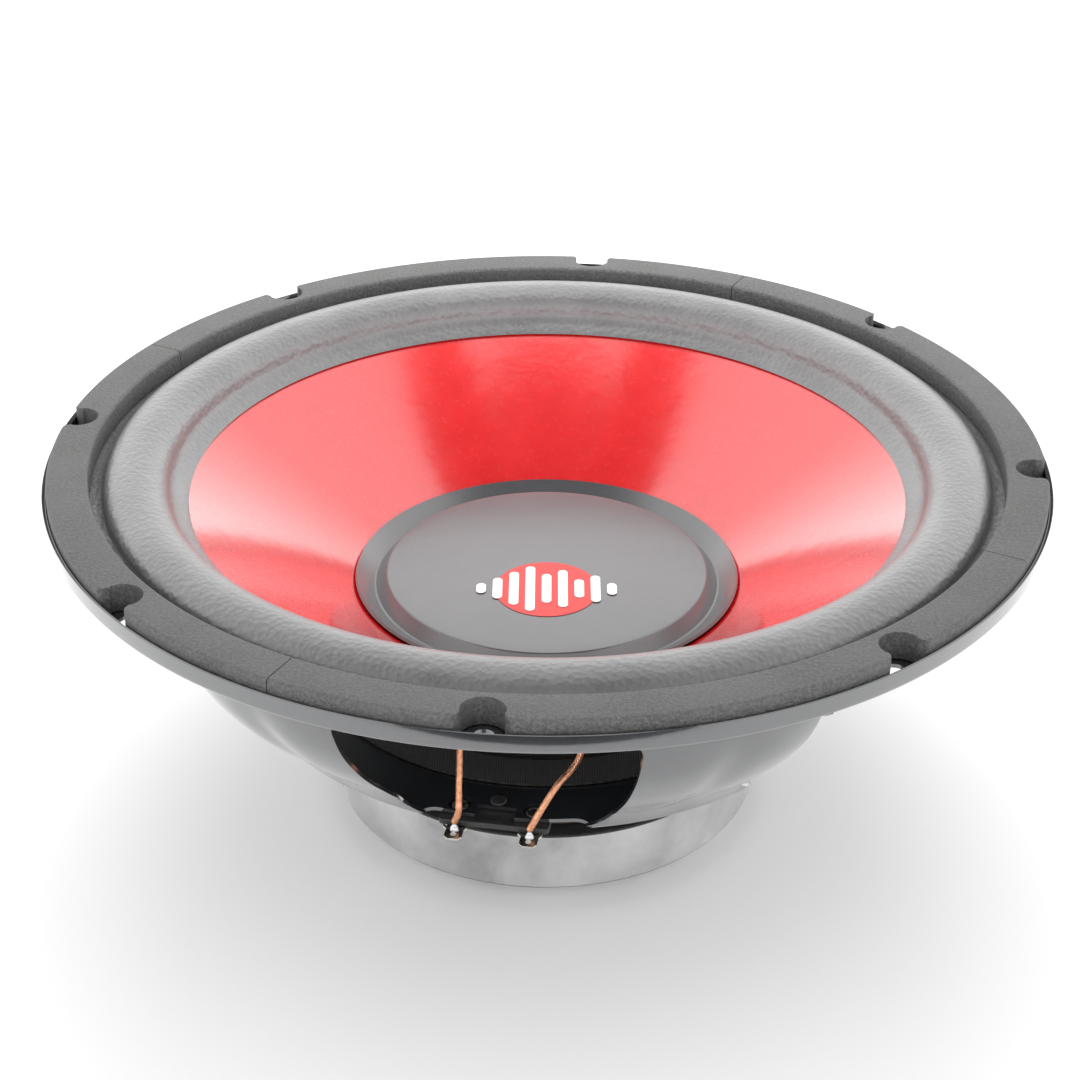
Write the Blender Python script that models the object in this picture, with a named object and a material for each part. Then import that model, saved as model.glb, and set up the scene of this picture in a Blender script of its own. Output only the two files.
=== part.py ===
"""Twelve-inch car subwoofer driver, face up, standing on its magnet.

Metres, +Z up. The cone's axis is Z, and the back plate rests on z = 0.
"""

import math

import bmesh
import bpy
from mathutils import Matrix, Vector

GAP = 0.0003  # between two pieces that touch
SHEET = 0.0012  # pressed steel of the basket

# Motor
BACK_PLATE_RADIUS = 0.060
BACK_PLATE_THICKNESS = 0.0060
POLE_RADIUS = 0.0246
VENT_RADIUS = 0.0090
VENT_FLARE = 0.0030
MAGNET_RADIUS = 0.070
MAGNET_HOLE_RADIUS = 0.037
MAGNET_THICKNESS = 0.0206
MAGNET_CHAMFER = 0.0010
TOP_PLATE_RADIUS = 0.0645
TOP_PLATE_THICKNESS = 0.0050

# Voice coil
POLE_CLEARANCE = 0.0008
FORMER_WALL = 0.0005
WINDING_WALL = 0.0012
WINDING_LENGTH = 0.0240
FORMER_TAIL = 0.0005  # bare former below the winding
FORMER_STANDOUT = 0.0016  # above the cone's neck
PLATE_CLEARANCE = 0.0009
GLUE_WIDTH = 0.0030
GLUE_HEIGHT = 0.0034

# Basket
CUP_RADIUS = 0.066
CUP_DEPTH = 0.0170
CUP_HOLE_CLEARANCE = 0.0027  # outside the top plate's hole
SHELF_WIDTH = 0.0320
LIP_WIDTH = 0.0270  # the shelf's width inside a window
BOWL_DEPTH = 0.0682
BOWL_POWER = 1.8  # how the bowl's wall turns in towards the shelf
RIM_RADIUS = 0.1562
FLANGE_WIDTH = 0.0182
RIM_HEIGHT = 0.0063
FLANGE_CORNER = 0.0016
LEG_COUNT = 6
WINDOW_AZIMUTH = math.radians(-97.2)
WINDOW_HALF_ANGLE = math.radians(18.4)
WINDOW_TOP_DROP = 0.0120  # below the flange
WINDOW_CORNER = 0.0050
WINDOW_FOOT_CORNER = 0.0095
LIP_CORNER = 0.0025
RIB_DEPTH = 0.0018
RIB_HALF_ANGLE = math.radians(7.5)
SCREW_COUNT = 8
SCREW_AZIMUTH = math.radians(-96.1)
SCREW_INSET = 0.0067
SCREW_HOLE_RADIUS = 0.0028

# Cone, edge and caps
GASKET_WIDTH = 0.0142  # this and the next widths are from the rim in
GASKET_THICKNESS = 0.0069
GASKET_COUNT = 4
GASKET_JOINT_AZIMUTH = math.radians(62)
NOTCH_RADIUS = 0.0068
NOTCH_INSET = 0.0048
EDGE_THICKNESS = 0.0013
BOND_INSET = 0.0119
ROLL_INSET = 0.0180
ROLL_WIDTH = 0.0202
ROLL_HEIGHT = 0.0067
CONE_OVERLAP = 0.0006  # the cone's rim under the roll
CONE_DROP = 0.0030  # top of the cone below the edge's bonding flat
CONE_NECK_RISE = 0.00604  # the cone's neck above the spider's seat
CONE_THICKNESS = 0.0010
SKIRT_WIDTH = 0.0059
SKIRT_THICKNESS = 0.0009
CAP_LIP_RADIUS = 0.0612
CAP_FOOT_RADIUS = 0.0553
CAP_PLATEAU_RADIUS = 0.0517
CAP_THICKNESS = 0.0010
CAP_WALL_HEIGHT = 0.0047
CAP_CROWN = 0.0008
CAP_LIP_LIFT = 0.0006
CAP_FOOT_FILLET = 0.0008
CAP_EDGE_FILLET = 0.0012

# Spider
SPIDER_LAND = 0.0110  # its width on the shelf
SPIDER_RELIEF = 0.0018  # from the shelf's edge to the first wave
SPIDER_NECK = 0.0030  # from the neck to the last wave
SPIDER_THICKNESS = 0.0006
SPIDER_WAVES = 4
SPIDER_WAVE_HEIGHT = 0.0022
SPIDER_COLLAR = 0.0032

# Terminals
BOARD_AZIMUTH = math.radians(-99.3)
BOARD_LENGTH = 0.0330
BOARD_DEPTH = 0.0120
BOARD_OVERHANG = 0.0018  # past the lip
BOARD_THICKNESS = 0.0019
TAB_PITCH = 0.0224
TAB_WIDTH = 0.0054
TAB_THICKNESS = 0.0008
TAB_REACH = 0.0078
TAB_EAR = 0.0014
TAB_HOLE_RADIUS = 0.0009
LIP_NOTCH_WIDTH = 0.0120
LIP_NOTCH_DEPTH = 0.0050
RIVET_RADIUS = 0.0012
RIVET_HEAD_THICKNESS = 0.0007
TAB_RIVET_HOLE_RADIUS = 0.0035  # through the shelf, round the rivet's head
SOLDER_RADIUS = 0.0015
SOLDER_HEIGHT = 0.0022
LEAD_RADIUS = 0.0010
MOTOR_RIVET_COUNT = 4
MOTOR_RIVET_AZIMUTH = math.radians(45)
MOTOR_RIVET_CIRCLE_RADIUS = 0.048
MOTOR_RIVET_RADIUS = 0.0019
EYELET_RADIUS = 0.0026
EYELET_THICKNESS = 0.0009

# Heights, from the ground up
MAGNET_Z = BACK_PLATE_THICKNESS + GAP
TOP_PLATE_Z = MAGNET_Z + MAGNET_THICKNESS + GAP
BASKET_Z = TOP_PLATE_Z + TOP_PLATE_THICKNESS + GAP
SHELF_Z = BASKET_Z + CUP_DEPTH
FLANGE_Z = SHELF_Z + BOWL_DEPTH
FLANGE_TOP = FLANGE_Z + SHEET
EDGE_Z = FLANGE_TOP + GAP
EDGE_TOP = EDGE_Z + EDGE_THICKNESS
GASKET_Z = EDGE_TOP + GAP
GASKET_TOP = GASKET_Z + GASKET_THICKNESS
WINDING_Z = TOP_PLATE_Z + TOP_PLATE_THICKNESS / 2 - WINDING_LENGTH / 2
CONE_RIM_Z = EDGE_TOP - CONE_DROP
SPIDER_Z = SHELF_Z + SHEET + GAP
BOARD_Z = SHELF_Z - GAP - BOARD_THICKNESS
TAB_Z = BOARD_Z - GAP - TAB_THICKNESS

# Radii
FORMER_INNER_RADIUS = POLE_RADIUS + POLE_CLEARANCE
FORMER_RADIUS = FORMER_INNER_RADIUS + FORMER_WALL
WINDING_RADIUS = FORMER_RADIUS + GAP + WINDING_WALL
TOP_PLATE_HOLE_RADIUS = WINDING_RADIUS + PLATE_CLEARANCE
NECK_RADIUS = FORMER_RADIUS + 1.3 * GAP
CUP_HOLE_RADIUS = TOP_PLATE_HOLE_RADIUS + CUP_HOLE_CLEARANCE
SPIDER_RADIUS = CUP_RADIUS + SPIDER_LAND
SHELF_RADIUS = CUP_RADIUS + SHELF_WIDTH
LIP_RADIUS = CUP_RADIUS + LIP_WIDTH
BOWL_TOP_RADIUS = RIM_RADIUS - FLANGE_WIDTH
SCREW_CIRCLE_RADIUS = RIM_RADIUS - SCREW_INSET
GASKET_RADIUS = RIM_RADIUS - SHEET - GAP
GASKET_INNER_RADIUS = RIM_RADIUS - GASKET_WIDTH
NOTCH_CENTRE_RADIUS = RIM_RADIUS - NOTCH_INSET
EDGE_BOND_RADIUS = RIM_RADIUS - BOND_INSET
ROLL_OUTER_RADIUS = RIM_RADIUS - ROLL_INSET
ROLL_INNER_RADIUS = ROLL_OUTER_RADIUS - ROLL_WIDTH
CONE_RADIUS = ROLL_INNER_RADIUS + CONE_OVERLAP
EDGE_INNER_RADIUS = ROLL_INNER_RADIUS - SKIRT_WIDTH

# The cone runs straight from its rim to its neck.
CONE_NECK_Z = SPIDER_Z + CONE_NECK_RISE
CONE_SLOPE = (CONE_RIM_Z - CONE_NECK_Z) / (CONE_RADIUS - NECK_RADIUS)

RING_STEPS = 60
MOTOR_STEPS = 40
COIL_STEPS = 32
HOLE_STEPS = 12
SHARP_ANGLE = math.radians(35)


def cone_top(radius):
    """Height of the cone's front face."""
    return CONE_RIM_Z - CONE_SLOPE * (CONE_RADIUS - radius)


def clear_scene():
    for obj in list(bpy.data.objects):
        bpy.data.objects.remove(obj, do_unlink=True)


def make_material(name, colour, roughness, metallic=0.0):
    material = bpy.data.materials.new(name)
    material.use_nodes = True
    shader = material.node_tree.nodes["Principled BSDF"]
    shader.inputs["Base Color"].default_value = (*colour, 1.0)
    shader.inputs["Roughness"].default_value = roughness
    shader.inputs["Metallic"].default_value = metallic
    return material


def add_object(name, bm, material=None):
    """Makes an object from bm, or a cutter when it gets no material."""
    bmesh.ops.remove_doubles(bm, verts=bm.verts, dist=1e-7)
    bmesh.ops.recalc_face_normals(bm, faces=bm.faces)
    mesh = bpy.data.meshes.new(name)
    bm.to_mesh(mesh)
    bm.free()
    obj = bpy.data.objects.new(name, mesh)
    bpy.context.scene.collection.objects.link(obj)
    if material is None:
        obj.hide_render = True
        obj.display_type = "WIRE"
    else:
        mesh.materials.append(material)
        mesh.shade_smooth()
        mesh.set_sharp_from_angle(angle=SHARP_ANGLE)
    return obj


def cut(obj, cutter):
    modifier = obj.modifiers.new(cutter.name, "BOOLEAN")
    modifier.operation = "DIFFERENCE"
    modifier.object = cutter


# Outlines are lists of (radius, height).


def rounded(corners, segments=2):
    """A path through (radius, height, fillet) corners, with an arc at each fillet."""
    path = []
    for index, (r, z, fillet) in enumerate(corners):
        here = Vector((r, z))
        if not fillet:
            path.append(here)
            continue
        before = (Vector(corners[index - 1][:2]) - here).normalized()
        after = (Vector(corners[index + 1][:2]) - here).normalized()
        half = before.angle(after) / 2
        centre = here + (before + after).normalized() * fillet / math.sin(half)
        reach = fillet / math.tan(half)
        start = here + before * reach - centre
        sweep = start.angle_signed(here + after * reach - centre)
        for step in range(segments + 1):
            turned = Matrix.Rotation(-sweep * step / segments, 2) @ start
            path.append(centre + turned)
    return [tuple(point) for point in path]


def offset(path, distance):
    """The path moved to its right-hand side, with mitred corners."""
    points = [Vector(point) for point in path]
    moved = []
    for index, point in enumerate(points):
        normals = []
        for a, b in ((index - 1, index), (index, index + 1)):
            if a >= 0 and b < len(points):
                along = (points[b] - points[a]).normalized()
                normals.append(Vector((along.y, -along.x)))
        mitre = sum(normals, Vector((0, 0))).normalized()
        moved.append(tuple(point + mitre * distance / mitre.dot(normals[0])))
    return moved


def walled(path, thickness):
    """A closed outline: the path, and back along its right-hand side."""
    return list(path) + offset(path, thickness)[::-1]


def add_ring(bm, outline, steps, start=0.0):
    """Turns an outline about Z. One that ends on the axis at both ends stays open there."""
    corners = [
        bm.verts.new((r * math.cos(start), r * math.sin(start), z)) for r, z in outline
    ]
    edges = [bm.edges.new(pair) for pair in zip(corners, corners[1:])]
    if outline[0][0] > 0:
        edges.append(bm.edges.new((corners[-1], corners[0])))
    bmesh.ops.spin(
        bm,
        geom=corners + edges,
        cent=(0, 0, 0),
        axis=(0, 0, 1),
        angle=math.tau,
        steps=steps,
        use_merge=True,
    )


def turned(name, outline, steps, material, start=0.0):
    bm = bmesh.new()
    add_ring(bm, outline, steps, start)
    return add_object(name, bm, material)


def add_prism(bm, outline, low, high, frame=None):
    """A straight prism on an (x, y) outline between two heights of a frame."""
    frame = frame or Matrix.Identity(4)
    rings = [
        [bm.verts.new(frame @ Vector((x, y, z))) for x, y in outline]
        for z in (low, high)
    ]
    bm.faces.new(rings[0][::-1])
    bm.faces.new(rings[1])
    for index in range(len(outline)):
        after = (index + 1) % len(outline)
        bm.faces.new((rings[0][index], rings[0][after], rings[1][after], rings[1][index]))


def circle(radius, steps, x=0.0, y=0.0):
    return [
        (
            x + radius * math.cos(math.tau * step / steps),
            y + radius * math.sin(math.tau * step / steps),
        )
        for step in range(steps)
    ]


def azimuths(count, first):
    return [first + math.tau * index / count for index in range(count)]


def turn(azimuth):
    """A frame whose +X points out along the azimuth."""
    return Matrix.Rotation(azimuth, 4, "Z")


def on_board(across, out, z):
    """A place on the terminal board: across it, out from the axis, and up."""
    return turn(BOARD_AZIMUTH) @ Vector((out, across, z))


# Motor


def make_back_plate(material):
    """The back plate and its pole piece are one forging, with a vent through it."""
    top = TOP_PLATE_Z + TOP_PLATE_THICKNESS
    outline = [
        (VENT_RADIUS + VENT_FLARE, 0),
        (BACK_PLATE_RADIUS - MAGNET_CHAMFER, 0),
        (BACK_PLATE_RADIUS, MAGNET_CHAMFER),
        (BACK_PLATE_RADIUS, BACK_PLATE_THICKNESS),
        (POLE_RADIUS, BACK_PLATE_THICKNESS),
        (POLE_RADIUS, top),
        (VENT_RADIUS + VENT_FLARE, top),
        (VENT_RADIUS, top - VENT_FLARE),
        (VENT_RADIUS, VENT_FLARE / 2),
    ]
    turned("back_plate", outline, MOTOR_STEPS, material)


def make_vent_screen(material):
    low = VENT_FLARE
    radius = VENT_RADIUS - 1.5 * GAP
    outline = [(0, low), (radius, low), (radius, low + SHEET), (0, low + SHEET)]
    turned("vent_screen", outline, COIL_STEPS, material)


def make_magnet(material):
    low = MAGNET_Z
    high = MAGNET_Z + MAGNET_THICKNESS
    outline = [
        (MAGNET_HOLE_RADIUS, low),
        (MAGNET_RADIUS - MAGNET_CHAMFER, low),
        (MAGNET_RADIUS, low + MAGNET_CHAMFER),
        (MAGNET_RADIUS, high - MAGNET_CHAMFER),
        (MAGNET_RADIUS - MAGNET_CHAMFER, high),
        (MAGNET_HOLE_RADIUS, high),
    ]
    turned("magnet", outline, MOTOR_STEPS, material)


def motor_rivet_holes(low, high):
    """Cutter for the holes that the motor's rivets pass through."""
    bm = bmesh.new()
    for azimuth in azimuths(MOTOR_RIVET_COUNT, MOTOR_RIVET_AZIMUTH):
        hole = circle(MOTOR_RIVET_RADIUS + GAP, HOLE_STEPS, MOTOR_RIVET_CIRCLE_RADIUS)
        add_prism(bm, hole, low, high, turn(azimuth))
    return bm


def make_top_plate(material):
    low = TOP_PLATE_Z
    high = low + TOP_PLATE_THICKNESS
    outline = [
        (TOP_PLATE_HOLE_RADIUS, low),
        (TOP_PLATE_RADIUS, low),
        (TOP_PLATE_RADIUS, high),
        (TOP_PLATE_HOLE_RADIUS, high),
    ]
    plate = turned("top_plate", outline, MOTOR_STEPS, material)
    holes = motor_rivet_holes(low + TOP_PLATE_THICKNESS / 2, high + SHEET)
    cut(plate, add_object("top_plate_rivet_holes", holes))


def make_motor_rivets(material):
    """Four rivets hold the basket's floor down on the top plate."""
    foot = TOP_PLATE_Z + TOP_PLATE_THICKNESS / 2 + GAP
    seat = BASKET_Z + SHEET + GAP
    head = MOTOR_RIVET_RADIUS * 2
    outline = [
        (0, foot),
        (MOTOR_RIVET_RADIUS, foot),
        (MOTOR_RIVET_RADIUS, seat),
        (head, seat),
        (head * 0.85, seat + head * 0.3),
        (0, seat + head * 0.42),
    ]
    for index, azimuth in enumerate(azimuths(MOTOR_RIVET_COUNT, MOTOR_RIVET_AZIMUTH)):
        rivet = turned(f"motor_rivet_{index + 1}", outline, HOLE_STEPS, material)
        rivet.location = turn(azimuth) @ Vector((MOTOR_RIVET_CIRCLE_RADIUS, 0, 0))
        rivet.rotation_euler.z = azimuth


# Basket


def bowl_radius(z):
    """Outer radius of the bowl's wall at a height between shelf and flange."""
    down = (FLANGE_Z - z) / BOWL_DEPTH
    return BOWL_TOP_RADIUS - (BOWL_TOP_RADIUS - SHELF_RADIUS) * down**BOWL_POWER


def basket_path():
    """Outer face of the pressing, from the top of the rim in to the motor's hole."""
    wall = [FLANGE_Z - BOWL_DEPTH * part for part in (0.2, 0.4, 0.57, 0.73, 0.87)]
    corners = [
        (RIM_RADIUS, FLANGE_Z + RIM_HEIGHT, 0),
        (RIM_RADIUS, FLANGE_Z, FLANGE_CORNER),
        (BOWL_TOP_RADIUS, FLANGE_Z, SHEET),
        *[(bowl_radius(z), z, 0) for z in wall],
        (SHELF_RADIUS, SHELF_Z, 2 * SHEET),
        (CUP_RADIUS, SHELF_Z, SHEET),
        (CUP_RADIUS, BASKET_Z, 2 * SHEET),
        (CUP_HOLE_RADIUS, BASKET_Z, 0),
    ]
    return rounded(corners, 1)


def press_ribs(bm):
    """Presses a shallow channel down the middle of each leg."""
    pitch = math.tau / LEG_COUNT
    for vert in bm.verts:
        down = (FLANGE_Z - vert.co.z) / BOWL_DEPTH
        if not 0.05 < down < 0.97:
            continue
        azimuth = math.atan2(vert.co.y, vert.co.x) - WINDOW_AZIMUTH - pitch / 2
        off = (azimuth + pitch / 2) % pitch - pitch / 2
        if abs(off) >= RIB_HALF_ANGLE:
            continue
        depth = RIB_DEPTH * math.cos(math.pi / 2 * off / RIB_HALF_ANGLE) ** 2
        depth *= math.sin(math.pi * down)
        radius = math.hypot(vert.co.x, vert.co.y)
        vert.co.xy *= (radius - depth) / radius


def arc_steps(count):
    """Angles from 0 to a quarter turn, for a rounded corner."""
    return [math.pi / 2 * step / count for step in range(count + 1)]


def window_foot():
    """Half the angle that a window spans at the shelf, inside its rounded feet."""
    return WINDOW_HALF_ANGLE - WINDOW_FOOT_CORNER / SHELF_RADIUS


def window_outline():
    """Half of a window's outline as (angle, height), from its foot to its top."""
    low = SHELF_Z + 1.5 * SHEET
    top = FLANGE_Z - WINDOW_TOP_DROP
    foot = window_foot()
    corner = WINDOW_CORNER / BOWL_TOP_RADIUS
    feet = [
        (
            foot + (WINDOW_HALF_ANGLE - foot) * math.sin(t),
            low + WINDOW_FOOT_CORNER * (1 - math.cos(t)),
        )
        for t in arc_steps(3)
    ]
    tops = [
        (
            WINDOW_HALF_ANGLE - corner * (1 - math.cos(t)),
            top - WINDOW_CORNER * (1 - math.sin(t)),
        )
        for t in arc_steps(2)
    ]
    return feet + tops


def window_cutters():
    """Six windows through the bowl's wall, above the shelf."""
    bm = bmesh.new()
    half = window_outline()
    outline = half + [(-a, z) for a, z in reversed(half)]
    for azimuth in azimuths(LEG_COUNT, WINDOW_AZIMUTH):
        rings = []
        for radius in (LIP_RADIUS, RIM_RADIUS + SHEET):
            ring = []
            for a, z in outline:
                place = (radius * math.cos(azimuth + a), radius * math.sin(azimuth + a), z)
                ring.append(bm.verts.new(place))
            rings.append(ring)
            for low in range(len(half) - 1):
                high = len(ring) - 1 - low
                bm.faces.new((ring[low], ring[low + 1], ring[high - 1], ring[high]))
        for index in range(len(outline)):
            after = (index + 1) % len(outline)
            bm.faces.new((rings[0][index], rings[0][after], rings[1][after], rings[1][index]))
    return bm


def lip_cutters():
    """Six sectors that trim the shelf back to its lip, and the wall's foot with it."""
    bm = bmesh.new()
    foot = window_foot()
    steps = 6
    outer = bowl_radius(SHELF_Z + 2 * SHEET) + SHEET
    arc = foot - LIP_CORNER / LIP_RADIUS
    places = [(LIP_RADIUS, arc * (2 * step / steps - 1)) for step in range(steps + 1)]
    places += [(LIP_RADIUS + LIP_CORNER, foot), (outer, foot)]
    places += [(outer / math.cos(foot), 0), (outer, -foot), (LIP_RADIUS + LIP_CORNER, -foot)]
    outline = [(radius * math.cos(a), radius * math.sin(a)) for radius, a in places]
    for azimuth in azimuths(LEG_COUNT, WINDOW_AZIMUTH):
        add_prism(bm, outline, SHELF_Z - SHEET, SHELF_Z + 2 * SHEET, turn(azimuth))
    return bm


def board_cutters():
    """The lip's notch, and the holes in the shelf over the board's rivets."""
    bm = bmesh.new()
    low = BOARD_Z - SHEET
    high = SHELF_Z + 3 * SHEET
    frame = turn(BOARD_AZIMUTH)
    inner = LIP_RADIUS - LIP_NOTCH_DEPTH
    half = LIP_NOTCH_WIDTH / 2
    notch = [(inner, -half), (SHELF_RADIUS, -half), (SHELF_RADIUS, half), (inner, half)]
    add_prism(bm, notch, low, high, frame)
    for side in (-1, 1):
        hole = circle(TAB_RIVET_HOLE_RADIUS, HOLE_STEPS, tab_rivet_out(), side * TAB_PITCH / 2)
        add_prism(bm, hole, low, high, frame)
    hole = circle(RIVET_RADIUS + GAP, HOLE_STEPS, board_rivet_out(), 0)
    add_prism(bm, hole, low, high, frame)
    return bm


def screw_hole_cutters():
    bm = bmesh.new()
    for azimuth in azimuths(SCREW_COUNT, SCREW_AZIMUTH):
        hole = circle(SCREW_HOLE_RADIUS, HOLE_STEPS, SCREW_CIRCLE_RADIUS)
        add_prism(bm, hole, FLANGE_Z - SHEET, FLANGE_TOP + SHEET, turn(azimuth))
    return bm


def make_basket(material):
    bm = bmesh.new()
    add_ring(bm, walled(basket_path(), SHEET), RING_STEPS, WINDOW_AZIMUTH)
    press_ribs(bm)
    basket = add_object("basket", bm, material)
    cut(basket, add_object("windows", window_cutters()))
    cut(basket, add_object("lips", lip_cutters()))
    cut(basket, add_object("screw_holes", screw_hole_cutters()))
    cut(basket, add_object("board_holes", board_cutters()))
    holes = motor_rivet_holes(BASKET_Z - SHEET, BASKET_Z + 2 * SHEET)
    cut(basket, add_object("basket_rivet_holes", holes))


# Gasket, edge, cone and caps


def notch_cutters():
    """Round-ended notches that let the screws through the gasket."""
    bm = bmesh.new()
    outer = RIM_RADIUS + SHEET
    for azimuth in azimuths(SCREW_COUNT, SCREW_AZIMUTH):
        outline = [(outer, -NOTCH_RADIUS), (outer, NOTCH_RADIUS)]
        for step in range(9):
            angle = math.pi / 2 + math.pi * step / 8
            x = NOTCH_CENTRE_RADIUS + NOTCH_RADIUS * math.cos(angle)
            outline.append((x, NOTCH_RADIUS * math.sin(angle)))
        add_prism(bm, outline, FLANGE_Z, GASKET_TOP + SHEET, turn(azimuth))
    return bm


def make_gasket(material):
    """Four foam segments, butted end to end, that fill the rim."""
    step_radius = EDGE_BOND_RADIUS + GAP
    low = FLANGE_TOP + GAP
    section = [
        (GASKET_INNER_RADIUS, GASKET_TOP),
        (GASKET_RADIUS, GASKET_TOP),
        (GASKET_RADIUS, low + FLANGE_CORNER),
        (GASKET_RADIUS - FLANGE_CORNER, low),
        (step_radius, low),
        (step_radius, GASKET_Z),
        (GASKET_INNER_RADIUS, GASKET_Z),
    ]
    notches = add_object("notches", notch_cutters())
    steps = RING_STEPS // GASKET_COUNT
    sweep = math.tau / GASKET_COUNT - GAP / GASKET_INNER_RADIUS
    for index, azimuth in enumerate(azimuths(GASKET_COUNT, GASKET_JOINT_AZIMUTH)):
        bm = bmesh.new()
        face = bm.faces.new([bm.verts.new((r, 0, z)) for r, z in section])
        bmesh.ops.spin(
            bm,
            geom=[face, *face.edges, *face.verts],
            cent=(0, 0, 0),
            axis=(0, 0, 1),
            angle=sweep,
            steps=steps,
        )
        bmesh.ops.rotate(bm, verts=bm.verts, matrix=Matrix.Rotation(azimuth, 3, "Z"))
        segment = add_object(f"gasket_segment_{index + 1}", bm, material)
        cut(segment, notches)


def roll_path():
    """Front face of the edge: bonding flat, half roll, and skirt down on to the cone."""
    middle = (ROLL_OUTER_RADIUS + ROLL_INNER_RADIUS) / 2
    half = (ROLL_OUTER_RADIUS - ROLL_INNER_RADIUS) / 2
    inner_foot = skirt_top(ROLL_INNER_RADIUS)
    path = [(EDGE_INNER_RADIUS, skirt_top(EDGE_INNER_RADIUS))]
    steps = 8
    for step in range(steps + 1):
        angle = math.pi * step / steps
        foot = inner_foot if step < steps / 2 else EDGE_TOP
        crown = EDGE_TOP + ROLL_HEIGHT
        z = foot + (crown - foot) * math.sin(angle) ** 0.9
        path.append((middle - half * math.cos(angle), z))
    path.append((EDGE_BOND_RADIUS, EDGE_TOP))
    return path


def skirt_top(radius):
    """Front face of the edge's skirt, which is bonded to the cone's face."""
    return cone_top(radius) + GAP + SKIRT_THICKNESS


def make_edge(material):
    path = roll_path()
    back = offset(path, EDGE_THICKNESS)
    back[-1] = (EDGE_BOND_RADIUS, EDGE_Z)
    for index, radius in enumerate((EDGE_INNER_RADIUS, CONE_RADIUS)):
        back[index] = (radius, cone_top(radius) + GAP)
    turned("edge_surround", path + back[::-1], RING_STEPS, material)


def make_cone(material):
    front = [(CONE_RADIUS, cone_top(CONE_RADIUS)), (NECK_RADIUS, cone_top(NECK_RADIUS))]
    drop = CONE_THICKNESS * math.hypot(1, CONE_SLOPE)
    outline = front + [(r, z - drop) for r, z in reversed(front)]
    turned("cone", outline, RING_STEPS, material)


def make_dust_cap(material):
    """A pressed cap: a rim that follows the cone, a short wall and a crowned plateau."""
    foot = cone_top(CAP_FOOT_RADIUS) + GAP + CAP_THICKNESS * 1.2
    rim = CAP_LIP_RADIUS - CAP_FOOT_RADIUS
    plateau = foot + CAP_WALL_HEIGHT
    path = rounded(
        [
            (CAP_LIP_RADIUS, foot + rim * CONE_SLOPE + CAP_LIP_LIFT, 0),
            (CAP_FOOT_RADIUS, foot, CAP_FOOT_FILLET),
            (CAP_PLATEAU_RADIUS, plateau, CAP_EDGE_FILLET),
            (CAP_PLATEAU_RADIUS * 0.6, plateau + CAP_CROWN * 0.7, 0),
            (0, plateau + CAP_CROWN, 0),
        ]
    )
    back = offset(path, -CAP_THICKNESS)
    back[-1] = (0, back[-1][1])
    outline = path[::-1] + back
    turned("dust_cap", outline, MOTOR_STEPS, material)


# Voice coil and spider


def make_voice_coil(former_material, winding_material):
    low = WINDING_Z - FORMER_TAIL
    high = cone_top(NECK_RADIUS) + FORMER_STANDOUT
    former = [
        (FORMER_INNER_RADIUS, low),
        (FORMER_RADIUS, low),
        (FORMER_RADIUS, high),
        (FORMER_INNER_RADIUS, high),
    ]
    turned("voice_coil_former", former, COIL_STEPS, former_material)
    inner = FORMER_RADIUS + GAP
    winding = [
        (inner, WINDING_Z),
        (WINDING_RADIUS, WINDING_Z),
        (WINDING_RADIUS, WINDING_Z + WINDING_LENGTH),
        (inner, WINDING_Z + WINDING_LENGTH),
    ]
    turned("voice_coil_winding", winding, COIL_STEPS, winding_material)


def make_neck_adhesive(material):
    """The fillet of glue in the corner between the former and the cone's face."""
    inner = FORMER_RADIUS + GAP
    outer = inner + GLUE_WIDTH
    outline = [
        (inner, cone_top(inner) + 1.5 * GAP),
        (outer, cone_top(outer) + 1.5 * GAP),
        (inner, cone_top(inner) + GLUE_HEIGHT),
    ]
    turned("neck_adhesive", outline, COIL_STEPS, material)


def spider_path():
    """Front face of the spider, from its collar out to its flat."""
    first = NECK_RADIUS + SPIDER_NECK
    last = CUP_RADIUS - SPIDER_RELIEF
    level = SPIDER_Z + SPIDER_THICKNESS
    path = [
        (NECK_RADIUS + SPIDER_THICKNESS, level + SPIDER_COLLAR),
        (NECK_RADIUS + SPIDER_THICKNESS, level + SPIDER_THICKNESS),
        (first, level),
    ]
    crests = 2 * SPIDER_WAVES
    for index in range(crests):
        r = first + (last - first) * (index + 0.5) / crests
        side = 1 if index % 2 == 0 else -1
        path.append((r, level + side * SPIDER_WAVE_HEIGHT))
    path += [(last, level), (SPIDER_RADIUS, level)]
    return path


def make_spider(material):
    path = spider_path()
    back = offset(path, SPIDER_THICKNESS)
    back[-2:] = [(r, SPIDER_Z) for r, _ in path[-2:]]
    turned("spider", path + back[::-1], MOTOR_STEPS, material)


# Terminals and leads


def board_rivet_out():
    return LIP_RADIUS + BOARD_OVERHANG - BOARD_DEPTH + 2.5 * RIVET_RADIUS


def tab_rivet_out():
    return LIP_RADIUS - 4 * RIVET_RADIUS


def solder_out():
    return LIP_RADIUS + BOARD_OVERHANG + SOLDER_RADIUS + GAP


def make_terminal_board(material):
    bm = bmesh.new()
    half = BOARD_LENGTH / 2
    outer = LIP_RADIUS + BOARD_OVERHANG
    inner = outer - BOARD_DEPTH
    outline = [(inner, -half), (outer, -half), (outer, half), (inner, half)]
    add_prism(bm, outline, BOARD_Z, BOARD_Z + BOARD_THICKNESS, turn(BOARD_AZIMUTH))
    board = add_object("terminal_board", bm, material)
    holes = bmesh.new()
    spots = [
        (tab_rivet_out(), -TAB_PITCH / 2),
        (tab_rivet_out(), TAB_PITCH / 2),
        (board_rivet_out(), 0),
    ]
    for x, y in spots:
        hole = circle(RIVET_RADIUS + GAP, HOLE_STEPS, x, y)
        low = BOARD_Z - SHEET
        high = BOARD_Z + BOARD_THICKNESS + SHEET
        add_prism(holes, hole, low, high, turn(BOARD_AZIMUTH))
    cut(board, add_object("terminal_board_holes", holes))


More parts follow.
